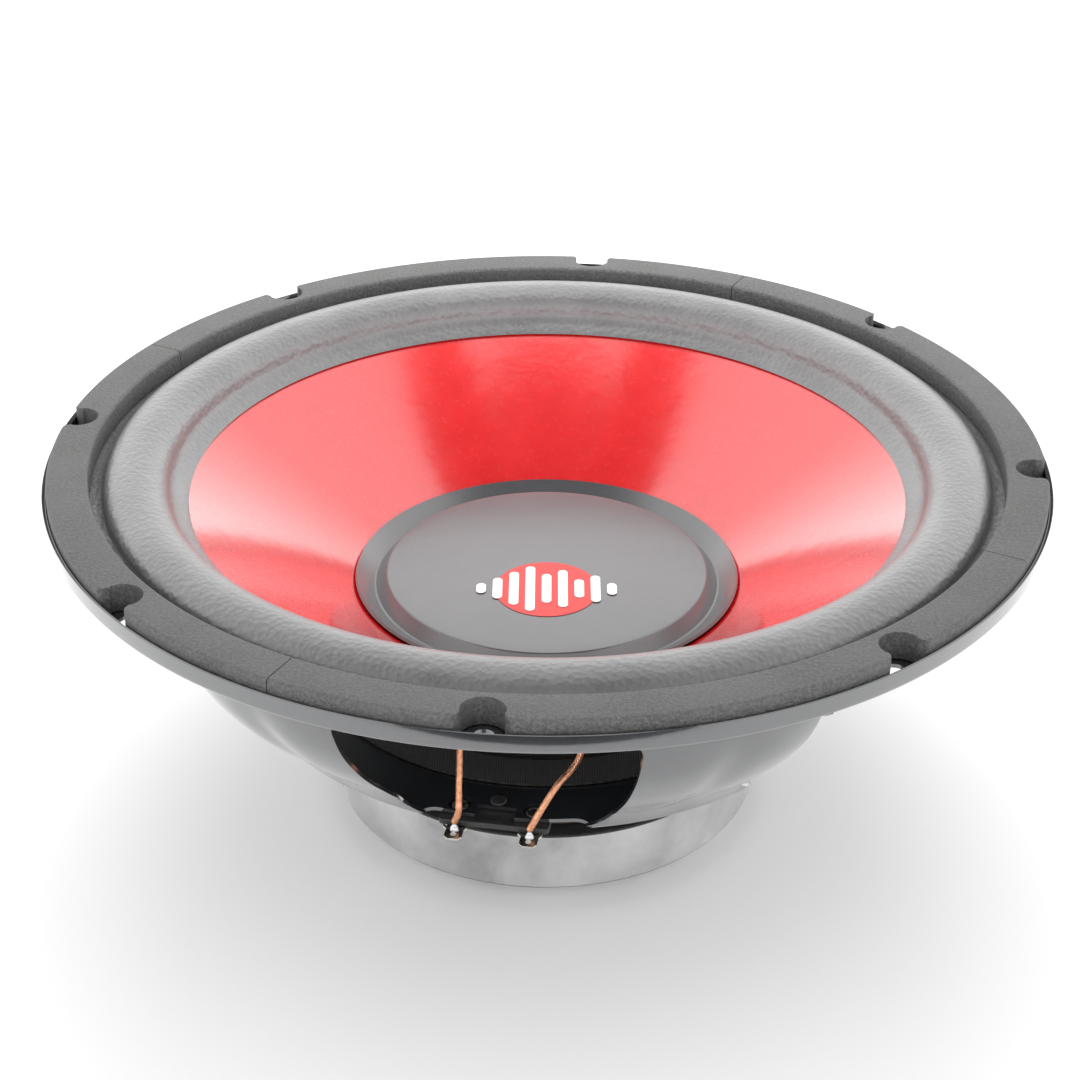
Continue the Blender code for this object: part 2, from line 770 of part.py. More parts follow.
def make_terminal(name, across, material):
    """A push-on tab under the board, with a hole in its tip and an ear at each side."""
    half = TAB_WIDTH / 2
    inner = tab_rivet_out() - TAB_WIDTH * 0.7
    tip = LIP_RADIUS + TAB_REACH
    ear_in = LIP_RADIUS + BOARD_OVERHANG + GAP
    ear_out = ear_in + TAB_EAR
    chamfer = TAB_WIDTH * 0.2
    outline = [
        (inner, -half),
        (ear_in, -half),
        (ear_in, -half - TAB_EAR),
        (ear_out, -half - TAB_EAR),
        (ear_out, -half),
        (tip - chamfer, -half),
        (tip, -half + chamfer),
    ]
    outline += [(x, -y) for x, y in reversed(outline)]
    outline = [(x, y + across) for x, y in outline]
    bm = bmesh.new()
    add_prism(bm, outline, TAB_Z, TAB_Z + TAB_THICKNESS, turn(BOARD_AZIMUTH))
    tab = add_object(name, bm, material)
    holes = bmesh.new()
    spots = (
        (tip - 2.5 * TAB_HOLE_RADIUS, TAB_HOLE_RADIUS),
        (tab_rivet_out(), RIVET_RADIUS + GAP),
    )
    for x, radius in spots:
        hole = circle(radius, HOLE_STEPS, x, across)
        add_prism(holes, hole, TAB_Z - SHEET, TAB_Z + 2 * SHEET, turn(BOARD_AZIMUTH))
    cut(tab, add_object(f"{name}_holes", holes))


def make_rivet(name, across, out, low, high, material):
    """A rivet with a flat head at each end of its shank."""
    head = RIVET_RADIUS * 2
    outline = [
        (0, low - RIVET_HEAD_THICKNESS),
        (head * 0.8, low - RIVET_HEAD_THICKNESS),
        (head, low),
        (RIVET_RADIUS, low),
        (RIVET_RADIUS, high),
        (head, high),
        (head * 0.8, high + RIVET_HEAD_THICKNESS),
        (0, high + RIVET_HEAD_THICKNESS),
    ]
    rivet = turned(name, outline, HOLE_STEPS, material)
    rivet.location = on_board(across, out, 0)


def make_solder(name, across, material):
    low = TAB_Z + TAB_THICKNESS + GAP
    outline = [
        (0, low),
        (SOLDER_RADIUS, low),
        (SOLDER_RADIUS * 0.9, low + SOLDER_HEIGHT * 0.4),
        (SOLDER_RADIUS * 0.5, low + SOLDER_HEIGHT),
        (0, low + SOLDER_HEIGHT),
    ]
    solder = turned(name, outline, HOLE_STEPS, material)
    solder.location = on_board(across, solder_out(), 0)


def make_terminals(board, metal, rivet_metal, solder):
    make_terminal_board(board)
    board_top = BOARD_Z + BOARD_THICKNESS
    for side, name in ((-1, "positive"), (1, "negative")):
        across = side * TAB_PITCH / 2
        make_terminal(f"terminal_{name}", across, metal)
        low = TAB_Z - GAP
        high = board_top + GAP
        make_rivet(f"terminal_rivet_{name}", across, tab_rivet_out(), low, high, rivet_metal)
        make_solder(f"solder_{name}", across, solder)
    low = BOARD_Z - GAP
    high = SHELF_Z + SHEET + GAP
    make_rivet("board_rivet", 0, board_rivet_out(), low, high, rivet_metal)


def smooth_points(points, per_span=5):
    """Points on a Catmull-Rom curve through the given ones."""
    knots = [Vector(point) for point in points]
    knots = [2 * knots[0] - knots[1], *knots, 2 * knots[-1] - knots[-2]]
    result = []
    for a, b, c, d in zip(knots, knots[1:], knots[2:], knots[3:]):
        for step in range(per_span):
            t = step / per_span
            result.append(
                (
                    2 * b
                    + (c - a) * t
                    + (2 * a - 5 * b + 4 * c - d) * t**2
                    + (3 * b - a - 3 * c + d) * t**3
                )
                / 2
            )
    return [*result, knots[-2]]


def make_lead(name, points, material):
    """A braided lead, from its solder joint up to the back of the cone."""
    curve = bpy.data.curves.new(name, "CURVE")
    curve.dimensions = "3D"
    curve.bevel_depth = LEAD_RADIUS
    curve.bevel_resolution = 2
    curve.use_fill_caps = True
    spline = curve.splines.new("POLY")
    route = smooth_points(points)
    spline.points.add(len(route) - 1)
    for point, place in zip(spline.points, route):
        point.co = (*place, 1)
    curve.materials.append(material)
    lead = bpy.data.objects.new(name, curve)
    bpy.context.scene.collection.objects.link(lead)


def behind_cone(place, depth):
    """A place behind the cone's front face, by a depth measured square to it."""
    x, y = place
    return (x, y, cone_top(math.hypot(x, y)) - depth * math.hypot(1, CONE_SLOPE))


def make_eyelet(name, place, material):
    """A small disc bonded to the back of the cone, where a lead ends."""
    bm = bmesh.new()
    add_prism(bm, circle(EYELET_RADIUS, HOLE_STEPS), -EYELET_THICKNESS, 0)
    eyelet = add_object(name, bm, material)
    eyelet.location = behind_cone(place, CONE_THICKNESS + GAP)
    eyelet.rotation_euler = (0, -math.atan(CONE_SLOPE), math.atan2(place[1], place[0]))


def make_leads(copper, eyelet_metal):
    """Each lead's route is given from its foot, so it moves with its terminal."""
    foot_z = TAB_Z + TAB_THICKNESS + SOLDER_HEIGHT + 2 * GAP
    depth = CONE_THICKNESS + EYELET_THICKNESS + 2 * GAP + LEAD_RADIUS * CONE_SLOPE
    ends = {"positive": (0.0027, 0.0093), "negative": (0.0176, 0.0141)}
    routes = {
        "positive": [
            (0.0013, -0.0007, 0.0047),
            (0.0015, 0.0018, 0.0122),
            (0.0017, 0.0049, 0.0212),
            (0.0022, 0.0077, 0.0327),
        ],
        "negative": [
            (0.0026, 0.0006, 0.0052),
            (0.0078, 0.0028, 0.0136),
            (0.0140, 0.0074, 0.0198),
            (0.0170, 0.0116, 0.0292),
        ],
    }
    for side, name in ((-1, "positive"), (1, "negative")):
        foot = on_board(side * TAB_PITCH / 2, solder_out(), foot_z)
        end = foot.xy + Vector(ends[name])
        route = [foot, *[foot + Vector(step) for step in routes[name]], behind_cone(end, depth)]
        make_lead(f"lead_{name}", route, copper)
        make_eyelet(f"lead_eyelet_{name}", end, eyelet_metal)


def build():
    clear_scene()
    black_paint = make_material("black_paint", (0.02, 0.02, 0.022), 0.25, 0.3)
    ferrite = make_material("ferrite", (0.16, 0.16, 0.165), 0.5, 0.3)
    steel = make_material("zinc_steel", (0.35, 0.32, 0.28), 0.4, 0.9)
    foam = make_material("gasket_foam", (0.09, 0.09, 0.09), 0.9)
    edge_foam = make_material("edge_foam", (0.12, 0.12, 0.12), 0.7)
    red = make_material("red_film", (0.75, 0.03, 0.03), 0.2)
    cap = make_material("cap_plastic", (0.12, 0.12, 0.13), 0.35)
    kapton = make_material("former_film", (0.45, 0.25, 0.06), 0.4)
    copper = make_material("copper", (0.75, 0.33, 0.18), 0.35, 1.0)
    cloth = make_material("spider_cloth", (0.05, 0.045, 0.04), 0.9)
    glue = make_material("black_adhesive", (0.02, 0.02, 0.02), 0.3)
    fibre = make_material("fibre_board", (0.05, 0.05, 0.055), 0.6)
    tin = make_material("tinned_brass", (0.70, 0.68, 0.62), 0.3, 1.0)
    solder = make_material("solder", (0.60, 0.60, 0.62), 0.3, 1.0)

    make_back_plate(steel)
    make_vent_screen(black_paint)
    make_magnet(ferrite)
    make_top_plate(steel)
    make_motor_rivets(steel)
    make_basket(black_paint)
    make_gasket(foam)
    make_edge(edge_foam)
    make_cone(red)
    make_dust_cap(cap)
    make_voice_coil(kapton, copper)
    make_neck_adhesive(glue)
    make_spider(cloth)
    make_terminals(fibre, tin, tin, solder)
    make_leads(copper, tin)


build()
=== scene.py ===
from math import atan, atan2, cos, hypot, pi, radians, sin, tau

import bpy
import numpy as np
from mathutils import Matrix, Vector


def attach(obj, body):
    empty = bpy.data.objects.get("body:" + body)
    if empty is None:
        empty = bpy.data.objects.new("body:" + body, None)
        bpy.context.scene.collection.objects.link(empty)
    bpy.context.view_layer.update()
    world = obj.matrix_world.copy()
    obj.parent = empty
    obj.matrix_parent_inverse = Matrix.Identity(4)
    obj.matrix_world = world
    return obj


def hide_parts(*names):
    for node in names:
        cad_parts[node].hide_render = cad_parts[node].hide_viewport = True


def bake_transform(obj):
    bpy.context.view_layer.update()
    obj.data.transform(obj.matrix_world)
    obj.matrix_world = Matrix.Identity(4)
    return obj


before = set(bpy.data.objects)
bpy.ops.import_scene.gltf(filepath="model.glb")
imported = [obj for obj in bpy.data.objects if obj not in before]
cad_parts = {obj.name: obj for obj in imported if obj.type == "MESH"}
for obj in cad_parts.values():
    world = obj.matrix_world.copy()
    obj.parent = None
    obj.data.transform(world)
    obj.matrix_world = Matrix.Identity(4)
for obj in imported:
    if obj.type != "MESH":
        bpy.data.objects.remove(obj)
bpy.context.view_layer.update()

# car subwoofer driver, face up on its magnet; metres, the cone's axis is Z
base = "frame_and_motor"
moving = "cone_assembly"
gap = 0.0003
sheet = 0.0012

# heights of the main levels
levels = {
    "magnet": 0.0063,
    "topPlate": 0.0272,
    "cupFloor": 0.0325,
    "shelf": 0.0495,
    "flange": 0.1177,
    "rimTop": 0.1240,
    "edgeTop": 0.1205,
    "gasketFoot": 0.1208,
    "gasketTop": 0.1277,
}


# small helpers


def clearSelection():
    for o in bpy.context.selected_objects:
        o.select_set(False)


def makeActive(piece):
    clearSelection()
    piece.select_set(True)
    bpy.context.view_layer.objects.active = piece


def editAll(piece):
    makeActive(piece)
    bpy.ops.object.mode_set(mode="EDIT")
    bpy.ops.mesh.select_all(action="SELECT")


def leaveEdit():
    bpy.ops.object.mode_set(mode="OBJECT")


def closeEdit():  # all faces outward, then out of edit mode
    bpy.ops.mesh.select_all(action="SELECT")
    bpy.ops.mesh.normals_make_consistent(inside=False)
    leaveEdit()


def smoothPiece(piece, angle=30):
    makeActive(piece)
    bpy.ops.object.shade_smooth_by_angle(angle=radians(angle))


def applyPlace(piece):  # leaves the piece at the origin with its place in its mesh
    makeActive(piece)
    bpy.ops.object.transform_apply(location=True, rotation=True, scale=True)


def startRing(name, count):  # a ring of points, to be shaped into an outline
    clearSelection()
    bpy.ops.mesh.primitive_circle_add(vertices=count, radius=0.01)
    piece = bpy.context.object
    piece.name = name
    piece.data.name = name
    return piece


def turnOutline(name, outline, steps, start=0.0, sweep=tau):  # closed (radius, height) outline
    piece = startRing(name, len(outline))
    for vert, (r, z) in zip(piece.data.vertices, outline):
        vert.co = (r * cos(start), r * sin(start), z)
    editAll(piece)
    full = abs(sweep - tau) < 1e-6
    if not full:
        bpy.ops.mesh.edge_face_add()  # one end of the sector, filled before it is swept
    bpy.ops.mesh.spin(steps=steps, angle=sweep, center=(0, 0, 0), axis=(0, 0, 1))
    bpy.ops.mesh.select_all(action="SELECT")
    bpy.ops.mesh.remove_doubles(threshold=2e-6)
    bpy.ops.mesh.dissolve_degenerate(threshold=2e-6)
    closeEdit()
    return piece


def prismFrom(name, outline, low, high):  # closed (x, y) outline, pulled up between two heights
    piece = startRing(name, len(outline))
    for vert, (x, y) in zip(piece.data.vertices, outline):
        vert.co = (x, y, low)
    editAll(piece)
    bpy.ops.mesh.edge_face_add()
    bpy.ops.mesh.extrude_region_move(TRANSFORM_OT_translate={"value": (0, 0, high - low)})
    closeEdit()
    return piece


def turnPiece(piece, azimuth):
    piece.rotation_euler.z = azimuth
    applyPlace(piece)


def ringOfCutters(name, outline, low, high, azimuths):
    cutters = []
    for azimuth in azimuths:
        cutter = prismFrom(name, outline, low, high)
        turnPiece(cutter, azimuth)
        cutters.append(cutter)
    return cutters


def joinPieces(pieces):
    clearSelection()
    for piece in pieces:
        piece.select_set(True)
    bpy.context.view_layer.objects.active = pieces[0]
    if len(pieces) > 1:
        bpy.ops.object.join()
    return bpy.context.object


def cutWith(piece, cutter):
    modifier = piece.modifiers.new("cut", "BOOLEAN")
    modifier.operation = "DIFFERENCE"
    modifier.solver = "EXACT"
    modifier.object = cutter
    makeActive(piece)
    bpy.ops.object.modifier_apply(modifier=modifier.name)
    bpy.data.objects.remove(cutter, do_unlink=True)


def bevelEdges(piece, width, segments=2, angle=35):
    modifier = piece.modifiers.new("soften", "BEVEL")
    modifier.width = width
    modifier.segments = segments
    modifier.limit_method = "ANGLE"
    modifier.angle_limit = radians(angle)
    makeActive(piece)
    bpy.ops.object.modifier_apply(modifier=modifier.name)


def copyPiece(piece, name):
    twin = piece.copy()
    twin.data = piece.data.copy()
    twin.name = name
    twin.data.name = name
    bpy.context.scene.collection.objects.link(twin)
    return twin


def filletPath(corners, segments=5):  # (radius, height, fillet) corners to points
    path = []
    for i, (r, z, fillet) in enumerate(corners):
        here = Vector((r, z))
        if not fillet:
            path.append(here)
            continue
        before = (Vector(corners[i - 1][:2]) - here).normalized()
        after = (Vector(corners[(i + 1) % len(corners)][:2]) - here).normalized()
        half = before.angle(after) / 2
        centre = here + (before + after).normalized() * fillet / sin(half)
        reach = fillet * cos(half) / sin(half)
        first = here + before * reach - centre
        sweep = first.angle_signed(here + after * reach - centre)
        for k in range(segments + 1):
            path.append(centre + Matrix.Rotation(-sweep * k / segments, 2) @ first)
    return [tuple(p) for p in path]


def shiftPath(path, distance):  # the path moved to its right-hand side
    points = [Vector(p) for p in path]
    moved = []
    for i, point in enumerate(points):
        normals = []
        for a, b in ((i - 1, i), (i, i + 1)):
            if a >= 0 and b < len(points):
                along = (points[b] - points[a]).normalized()
                normals.append(Vector((along.y, -along.x)))
        mitre = sum(normals, Vector((0, 0))).normalized()
        moved.append(tuple(point + mitre * distance / mitre.dot(normals[0])))
    return moved


def wallOf(path, thickness):
    return list(path) + shiftPath(path, thickness)[::-1]


def smoothStep(t):
    t = min(max(t, 0.0), 1.0)
    return t * t * (3 - 2 * t)


def quarterTurn(count):
    return [pi / 2 * k / count for k in range(count + 1)]


def curveThrough(points, per):  # a smooth curve through the points
    pts = [Vector(p) for p in points]
    pts = [2 * pts[0] - pts[1], *pts, 2 * pts[-1] - pts[-2]]
    path = []
    for a, b, c, d in zip(pts, pts[1:], pts[2:], pts[3:]):
        square = 2 * a - 5 * b + 4 * c - d
        cube = 3 * b - a - 3 * c + d
        for k in range(per):
            t = k / per
            path.append((2 * b + (c - a) * t + square * t**2 + cube * t**3) / 2)
    path.append(pts[-2])
    return path


def azimuthsOf(count, first):
    return [first + tau * i / count for i in range(count)]


def polar(r, a, z=0.0):
    return Vector((r * cos(a), r * sin(a), z))


# materials


def newPaint(name, colour, roughness, metallic=0.0, **more):
    paint = bpy.data.materials.new(name)
    paint.use_nodes = True
    shader = paint.node_tree.nodes["Principled BSDF"]
    shader.inputs["Base Color"].default_value = (*colour, 1)
    shader.inputs["Roughness"].default_value = roughness
    shader.inputs["Metallic"].default_value = metallic
    for socket, value in more.items():
        shader.inputs[socket.replace("_", " ")].default_value = value
    return paint


def placeNode(paint, stretch=(1, 1, 1)):  # object coordinates, in metres
    tree = paint.node_tree
    coords = tree.nodes.new("ShaderNodeTexCoord")
    mapping = tree.nodes.new("ShaderNodeMapping")
    mapping.inputs["Scale"].default_value = stretch
    tree.links.new(coords.outputs["Object"], mapping.inputs["Vector"])
    return mapping.outputs["Vector"]


def noiseNode(paint, vector, scale, detail=3.0, rough=0.55, distortion=0.0):
    node = paint.node_tree.nodes.new("ShaderNodeTexNoise")
    node.inputs["Scale"].default_value = scale
    node.inputs["Detail"].default_value = detail
    node.inputs["Roughness"].default_value = rough
    node.inputs["Distortion"].default_value = distortion
    paint.node_tree.links.new(vector, node.inputs["Vector"])
    return node.outputs["Fac"]


def cellNode(paint, vector, scale, feature="F1", randomness=1.0):
    node = paint.node_tree.nodes.new("ShaderNodeTexVoronoi")
    node.feature = feature
    node.inputs["Scale"].default_value = scale
    node.inputs["Randomness"].default_value = randomness
    paint.node_tree.links.new(vector, node.inputs["Vector"])
    return node.outputs["Distance"]


def rampNode(paint, value, stops):
    node = paint.node_tree.nodes.new("ShaderNodeValToRGB")
    ramp = node.color_ramp
    while len(ramp.elements) < len(stops):
        ramp.elements.new(0.5)
    for element, (position, colour) in zip(ramp.elements, stops):
        element.position = position
        element.color = (*colour, 1) if len(colour) == 3 else colour
    paint.node_tree.links.new(value, node.inputs["Fac"])
    return node.outputs["Color"]


def greyRamp(paint, value, stops):
    return rampNode(paint, value, [(p, (g, g, g)) for p, g in stops])


def mathNode(paint, operation, a, b):
    node = paint.node_tree.nodes.new("ShaderNodeMath")
    node.operation = operation
    for socket, value in zip(node.inputs, (a, b)):
        if isinstance(value, (int, float)):
            socket.default_value = value
        else:
            paint.node_tree.links.new(value, socket)
    return node.outputs["Value"]


def mixNode(paint, factor, first, second, blend="MIX"):
    node = paint.node_tree.nodes.new("ShaderNodeMix")
    node.data_type = "RGBA"
    node.blend_type = blend
    for socket, value in ((node.inputs["Factor"], factor), (node.inputs[6], first), (node.inputs[7], second)):
        if isinstance(value, (int, float)):
            socket.default_value = value
        elif isinstance(value, tuple):
            socket.default_value = (*value, 1)
        else:
            paint.node_tree.links.new(value, socket)
    return node.outputs[2]


def wire(paint, value, socket):
    shader = paint.node_tree.nodes["Principled BSDF"]
    paint.node_tree.links.new(value, shader.inputs[socket])


def bumpNode(paint, height, strength, distance, below=None):
    node = paint.node_tree.nodes.new("ShaderNodeBump")
    node.inputs["Strength"].default_value = strength
    node.inputs["Distance"].default_value = distance
    paint.node_tree.links.new(height, node.inputs["Height"])
    if below is not None:
        paint.node_tree.links.new(below, node.inputs["Normal"])
    return node.outputs["Normal"]


def plainPaint(paint, noise, dark, light, bump=None, stretch=(1, 1, 1), ends=(0.3, 0.7)):
    grain = noiseNode(paint, placeNode(paint, stretch), *noise)
    wire(paint, rampNode(paint, grain, [(ends[0], dark), (ends[1], light)]), "Base Color")
    if bump:
        wire(paint, bumpNode(paint, grain, *bump), "Normal")
    return paint


def gasketFoamPaint():
    paint = newPaint("gasketFoam", (0.070, 0.071, 0.071), 0.62, Specular_IOR_Level=0.9)
    place = placeNode(paint)
    cloud = noiseNode(paint, place, 45, 4)
    grain = noiseNode(paint, place, 1050, 3, 0.75)
    base = rampNode(paint, cloud, [(0.3, (0.040, 0.041, 0.040)), (0.7, (0.070, 0.072, 0.071))])
    fleck = cellNode(paint, place, 260)
    flecks = greyRamp(paint, fleck, [(0.03, 1), (0.07, 0)])
    rare = greyRamp(paint, noiseNode(paint, place, 90, 2), [(0.60, 0), (0.66, 1)])
    dust = mathNode(paint, "MULTIPLY", flecks, rare)
    speckled = mixNode(paint, greyRamp(paint, grain, [(0.42, 0), (0.62, 0.8)]), base, (0.125, 0.128, 0.122))
    halfDust = mathNode(paint, "MULTIPLY", dust, 0.5)
    wire(paint, mixNode(paint, halfDust, speckled, (0.45, 0.44, 0.42)), "Base Color")
    wire(paint, greyRamp(paint, grain, [(0.3, 0.52), (0.7, 0.70)]), "Roughness")
    scuff = noiseNode(paint, placeNode(paint, (1, 14, 1)), 60, 3, 0.6, 0.4)
    rough = bumpNode(paint, greyRamp(paint, scuff, [(0.55, 0), (0.75, 1)]), 0.25, 0.0003)
    wire(paint, bumpNode(paint, grain, 0.9, 0.0005, rough), "Normal")
    return paint


def edgeFoamPaint():
    paint = newPaint(
        "edgeFoam", (0.10, 0.10, 0.103), 0.5,
        Specular_IOR_Level=1.0, Coat_Weight=0.8, Coat_Roughness=0.38, Coat_IOR=1.8,
    )
    place = placeNode(paint)
    crease = cellNode(paint, place, 560)
    pore = noiseNode(paint, place, 1300, 3, 0.7)
    cloud = noiseNode(paint, place, 60, 3)
    base = rampNode(paint, cloud, [(0.3, (0.085, 0.085, 0.088)), (0.7, (0.125, 0.125, 0.128))])
    dots = greyRamp(paint, pore, [(0.35, 0.0), (0.7, 1.0)])
    halfDots = mathNode(paint, "MULTIPLY", dots, 0.5)
    wire(paint, mixNode(paint, halfDots, base, (0.17, 0.17, 0.172)), "Base Color")
    wire(paint, greyRamp(paint, pore, [(0.3, 0.36), (0.75, 0.56)]), "Roughness")
    leather = bumpNode(paint, crease, 0.6, 0.0006)
    wire(paint, bumpNode(paint, pore, 0.35, 0.0003, leather), "Normal")
    return paint


def conePaint():  # glossy film on paper; black at the back
    paint = newPaint(
        "coneFilm", (0.78, 0.006, 0.009), 0.24,
        Coat_Weight=1.0, Coat_Roughness=0.13, Coat_IOR=2.3,
    )
    place = placeNode(paint)
    pulp = noiseNode(paint, place, 120, 5, 0.6, 0.3)
    fibre = noiseNode(paint, place, 520, 3, 0.6)
    tones = [(0.3, (0.60, 0.004, 0.006)), (0.7, (0.68, 0.009, 0.011))]
    wire(paint, rampNode(paint, pulp, tones), "Base Color")
    wire(paint, greyRamp(paint, fibre, [(0.3, 0.18), (0.7, 0.30)]), "Roughness")
    wave = bumpNode(paint, pulp, 0.09, 0.0006)
    normal = bumpNode(paint, fibre, 0.05, 0.0002, wave)
    wire(paint, normal, "Normal")
    wire(paint, normal, "Coat Normal")
    return paint


def conePulpPaint():
    paint = newPaint("conePulp", (0.012, 0.012, 0.013), 0.75)
    return plainPaint(paint, (420, 4, 0.65, 0.5), (0.008, 0.008, 0.009), (0.022, 0.022, 0.023), (0.4, 0.0004))


def capPaint():
    paint = newPaint(
        "capMoulding", (0.055, 0.055, 0.060), 0.30,
        Specular_IOR_Level=1.0, Coat_Weight=1.0, Coat_Roughness=0.26, Coat_IOR=2.0,
    )
    place = placeNode(paint)
    fine = noiseNode(paint, place, 2200, 2, 0.6)
    cloud = noiseNode(paint, place, 70, 3)
    tones = [(0.3, (0.052, 0.052, 0.057)), (0.7, (0.062, 0.062, 0.067))]
    wire(paint, rampNode(paint, cloud, tones), "Base Color")
    wire(paint, greyRamp(paint, fine, [(0.3, 0.27), (0.7, 0.36)]), "Roughness")
    wire(paint, bumpNode(paint, fine, 0.12, 0.0001), "Normal")
    return paint


def basketPaint():  # baked gloss enamel on pressed steel
    paint = newPaint(
        "basketEnamel", (0.012, 0.012, 0.014), 0.16, 0.0,
        Specular_IOR_Level=1.0, Coat_Weight=1.0, Coat_Roughness=0.07, Coat_IOR=2.1,
    )
    place = placeNode(paint)
    peel = noiseNode(paint, place, 210, 3, 0.5)
    cloud = noiseNode(paint, place, 26, 4)
    tones = [(0.3, (0.012, 0.014, 0.017)), (0.7, (0.022, 0.025, 0.030))]
    wire(paint, rampNode(paint, cloud, tones), "Base Color")
    wire(paint, greyRamp(paint, cloud, [(0.3, 0.14), (0.7, 0.26)]), "Roughness")
    normal = bumpNode(paint, peel, 0.05, 0.0003)
    wire(paint, normal, "Normal")
    wire(paint, normal, "Coat Normal")
    return paint


def basketShadePaint():  # painted shade: a dark matte coat behind the bowl, round the motor, standing in for the shade there
    paint = newPaint("basketPaintedShade", (0.014, 0.014, 0.016), 0.62, Specular_IOR_Level=0.3)
    return plainPaint(paint, (400, 4, 0.6), (0.008, 0.008, 0.009), (0.026, 0.024, 0.023), (0.25, 0.0002))


def ferritePaint():
    paint = newPaint("ferrite", (0.20, 0.20, 0.205), 0.42, 0.35)
    place = placeNode(paint)
    cloud = noiseNode(paint, place, 30, 5, 0.6, 0.2)
    fine = noiseNode(paint, place, 700, 3, 0.6)
    tones = [(0.30, (0.27, 0.27, 0.272)), (0.5, (0.43, 0.43, 0.432)), (0.70, (0.56, 0.56, 0.558))]
    patch = rampNode(paint, cloud, tones)
    pits = greyRamp(paint, cellNode(paint, place, 300), [(0.02, 1), (0.06, 0)])
    halfPits = mathNode(paint, "MULTIPLY", pits, 0.5)
    wire(paint, mixNode(paint, halfPits, patch, (0.05, 0.05, 0.05)), "Base Color")
    wire(paint, greyRamp(paint, cloud, [(0.3, 0.34), (0.7, 0.52)]), "Roughness")
    grind = noiseNode(paint, placeNode(paint, (1, 1, 9)), 110, 3)
    wire(paint, bumpNode(paint, fine, 0.22, 0.0002, bumpNode(paint, grind, 0.15, 0.0003)), "Normal")
    return paint


def plateSteelPaint():
    paint = newPaint("plateSteel", (0.05, 0.045, 0.04), 0.45, 0.3)
    place = placeNode(paint)
    cloud = noiseNode(paint, place, 60, 5, 0.6)
    lines = noiseNode(paint, placeNode(paint, (1, 1, 16)), 160, 3, 0.6)
    tones = [(0.3, (0.030, 0.026, 0.024)), (0.7, (0.066, 0.058, 0.052))]
    wire(paint, rampNode(paint, cloud, tones), "Base Color")
    wire(paint, greyRamp(paint, cloud, [(0.3, 0.30), (0.7, 0.50)]), "Roughness")
    wire(paint, bumpNode(paint, lines, 0.2, 0.0002), "Normal")
    return paint


def zincPaint():  # the back plate and its pole
    paint = newPaint("zincPlate", (0.52, 0.52, 0.53), 0.33, 1.0)
    place = placeNode(paint)
    cloud = noiseNode(paint, place, 45, 5, 0.6, 0.4)
    wire(paint, rampNode(paint, cloud, [(0.3, (0.42, 0.42, 0.44)), (0.7, (0.60, 0.60, 0.60))]), "Base Color")
    wire(paint, greyRamp(paint, cloud, [(0.3, 0.26), (0.7, 0.42)]), "Roughness")
    radius = noiseNode(paint, place, 420, 2)
    wire(paint, bumpNode(paint, radius, 0.08, 0.0002), "Normal")
    return paint


def tinPaint(name="tinnedBrass", colour=(0.66, 0.64, 0.58)):
    paint = newPaint(name, colour, 0.24, 1.0)
    place = placeNode(paint)
    cloud = noiseNode(paint, place, 350, 4, 0.6)
    dark = tuple(c * 0.78 for c in colour)
    wire(paint, rampNode(paint, cloud, [(0.3, dark), (0.7, colour)]), "Base Color")
    wire(paint, greyRamp(paint, cloud, [(0.3, 0.18), (0.7, 0.36)]), "Roughness")
    wire(paint, bumpNode(paint, cloud, 0.12, 0.0002), "Normal")
    return paint


# the fibre board's colour; also laid on the magnet's top and lower edge as painted shade
def fibreAndShadePaint():
    paint = newPaint("fibreBoardAndShade", (0.022, 0.021, 0.022), 0.5)
    dark, light = (0.015, 0.015, 0.016), (0.040, 0.038, 0.037)
    return plainPaint(paint, (500, 4, 0.65), dark, light, (0.3, 0.0002), (1, 1, 6))


def braidPaint():  # strands are in the mesh; this adds tarnish between them
    paint = newPaint("copperBraid", (0.82, 0.40, 0.24), 0.28, 1.0)
    place = placeNode(paint)
    tarnish = noiseNode(paint, place, 700, 3, 0.6)
    tones = [(0.3, (0.62, 0.24, 0.12)), (0.7, (0.92, 0.50, 0.32))]
    wire(paint, rampNode(paint, tarnish, tones), "Base Color")
    wire(paint, bumpNode(paint, noiseNode(paint, place, 2600, 2), 0.2, 0.0001), "Normal")
    return paint


def spiderPaint():
    paint = newPaint("spiderCloth", (0.03, 0.028, 0.026), 0.85, Sheen_Weight=0.1)
    place = placeNode(paint)
    tree = paint.node_tree
    weaves = []
    for axis in ("X", "Y"):
        wave = tree.nodes.new("ShaderNodeTexWave")
        wave.bands_direction = axis
        wave.inputs["Scale"].default_value = 420
        wave.inputs["Distortion"].default_value = 0.6
        tree.links.new(place, wave.inputs["Vector"])
        weaves.append(wave.outputs["Fac"])
    weave = mathNode(paint, "MULTIPLY", *weaves)
    tones = [(0.1, (0.012, 0.011, 0.010)), (0.7, (0.045, 0.041, 0.037))]
    wire(paint, rampNode(paint, weave, tones), "Base Color")
    wire(paint, bumpNode(paint, weave, 0.6, 0.0002), "Normal")
    return paint


def filmPaint():
    paint = newPaint("formerFilm", (0.42, 0.20, 0.04), 0.25, Coat_Weight=0.6, Coat_Roughness=0.1)
    return plainPaint(paint, (90, 3), (0.34, 0.15, 0.03), (0.50, 0.25, 0.06))


def windingPaint():  # turns of enamelled wire
    paint = newPaint("coilWire", (0.55, 0.20, 0.08), 0.25, 1.0)
    tree = paint.node_tree
    wave = tree.nodes.new("ShaderNodeTexWave")
    wave.bands_direction = "Z"
    wave.inputs["Scale"].default_value = 620
    tree.links.new(placeNode(paint), wave.inputs["Vector"])
    tones = [(0.1, (0.20, 0.06, 0.02)), (0.6, (0.62, 0.25, 0.11))]
    wire(paint, rampNode(paint, wave.outputs["Fac"], tones), "Base Color")
    wire(paint, bumpNode(paint, wave.outputs["Fac"], 0.6, 0.0002), "Normal")
    return paint


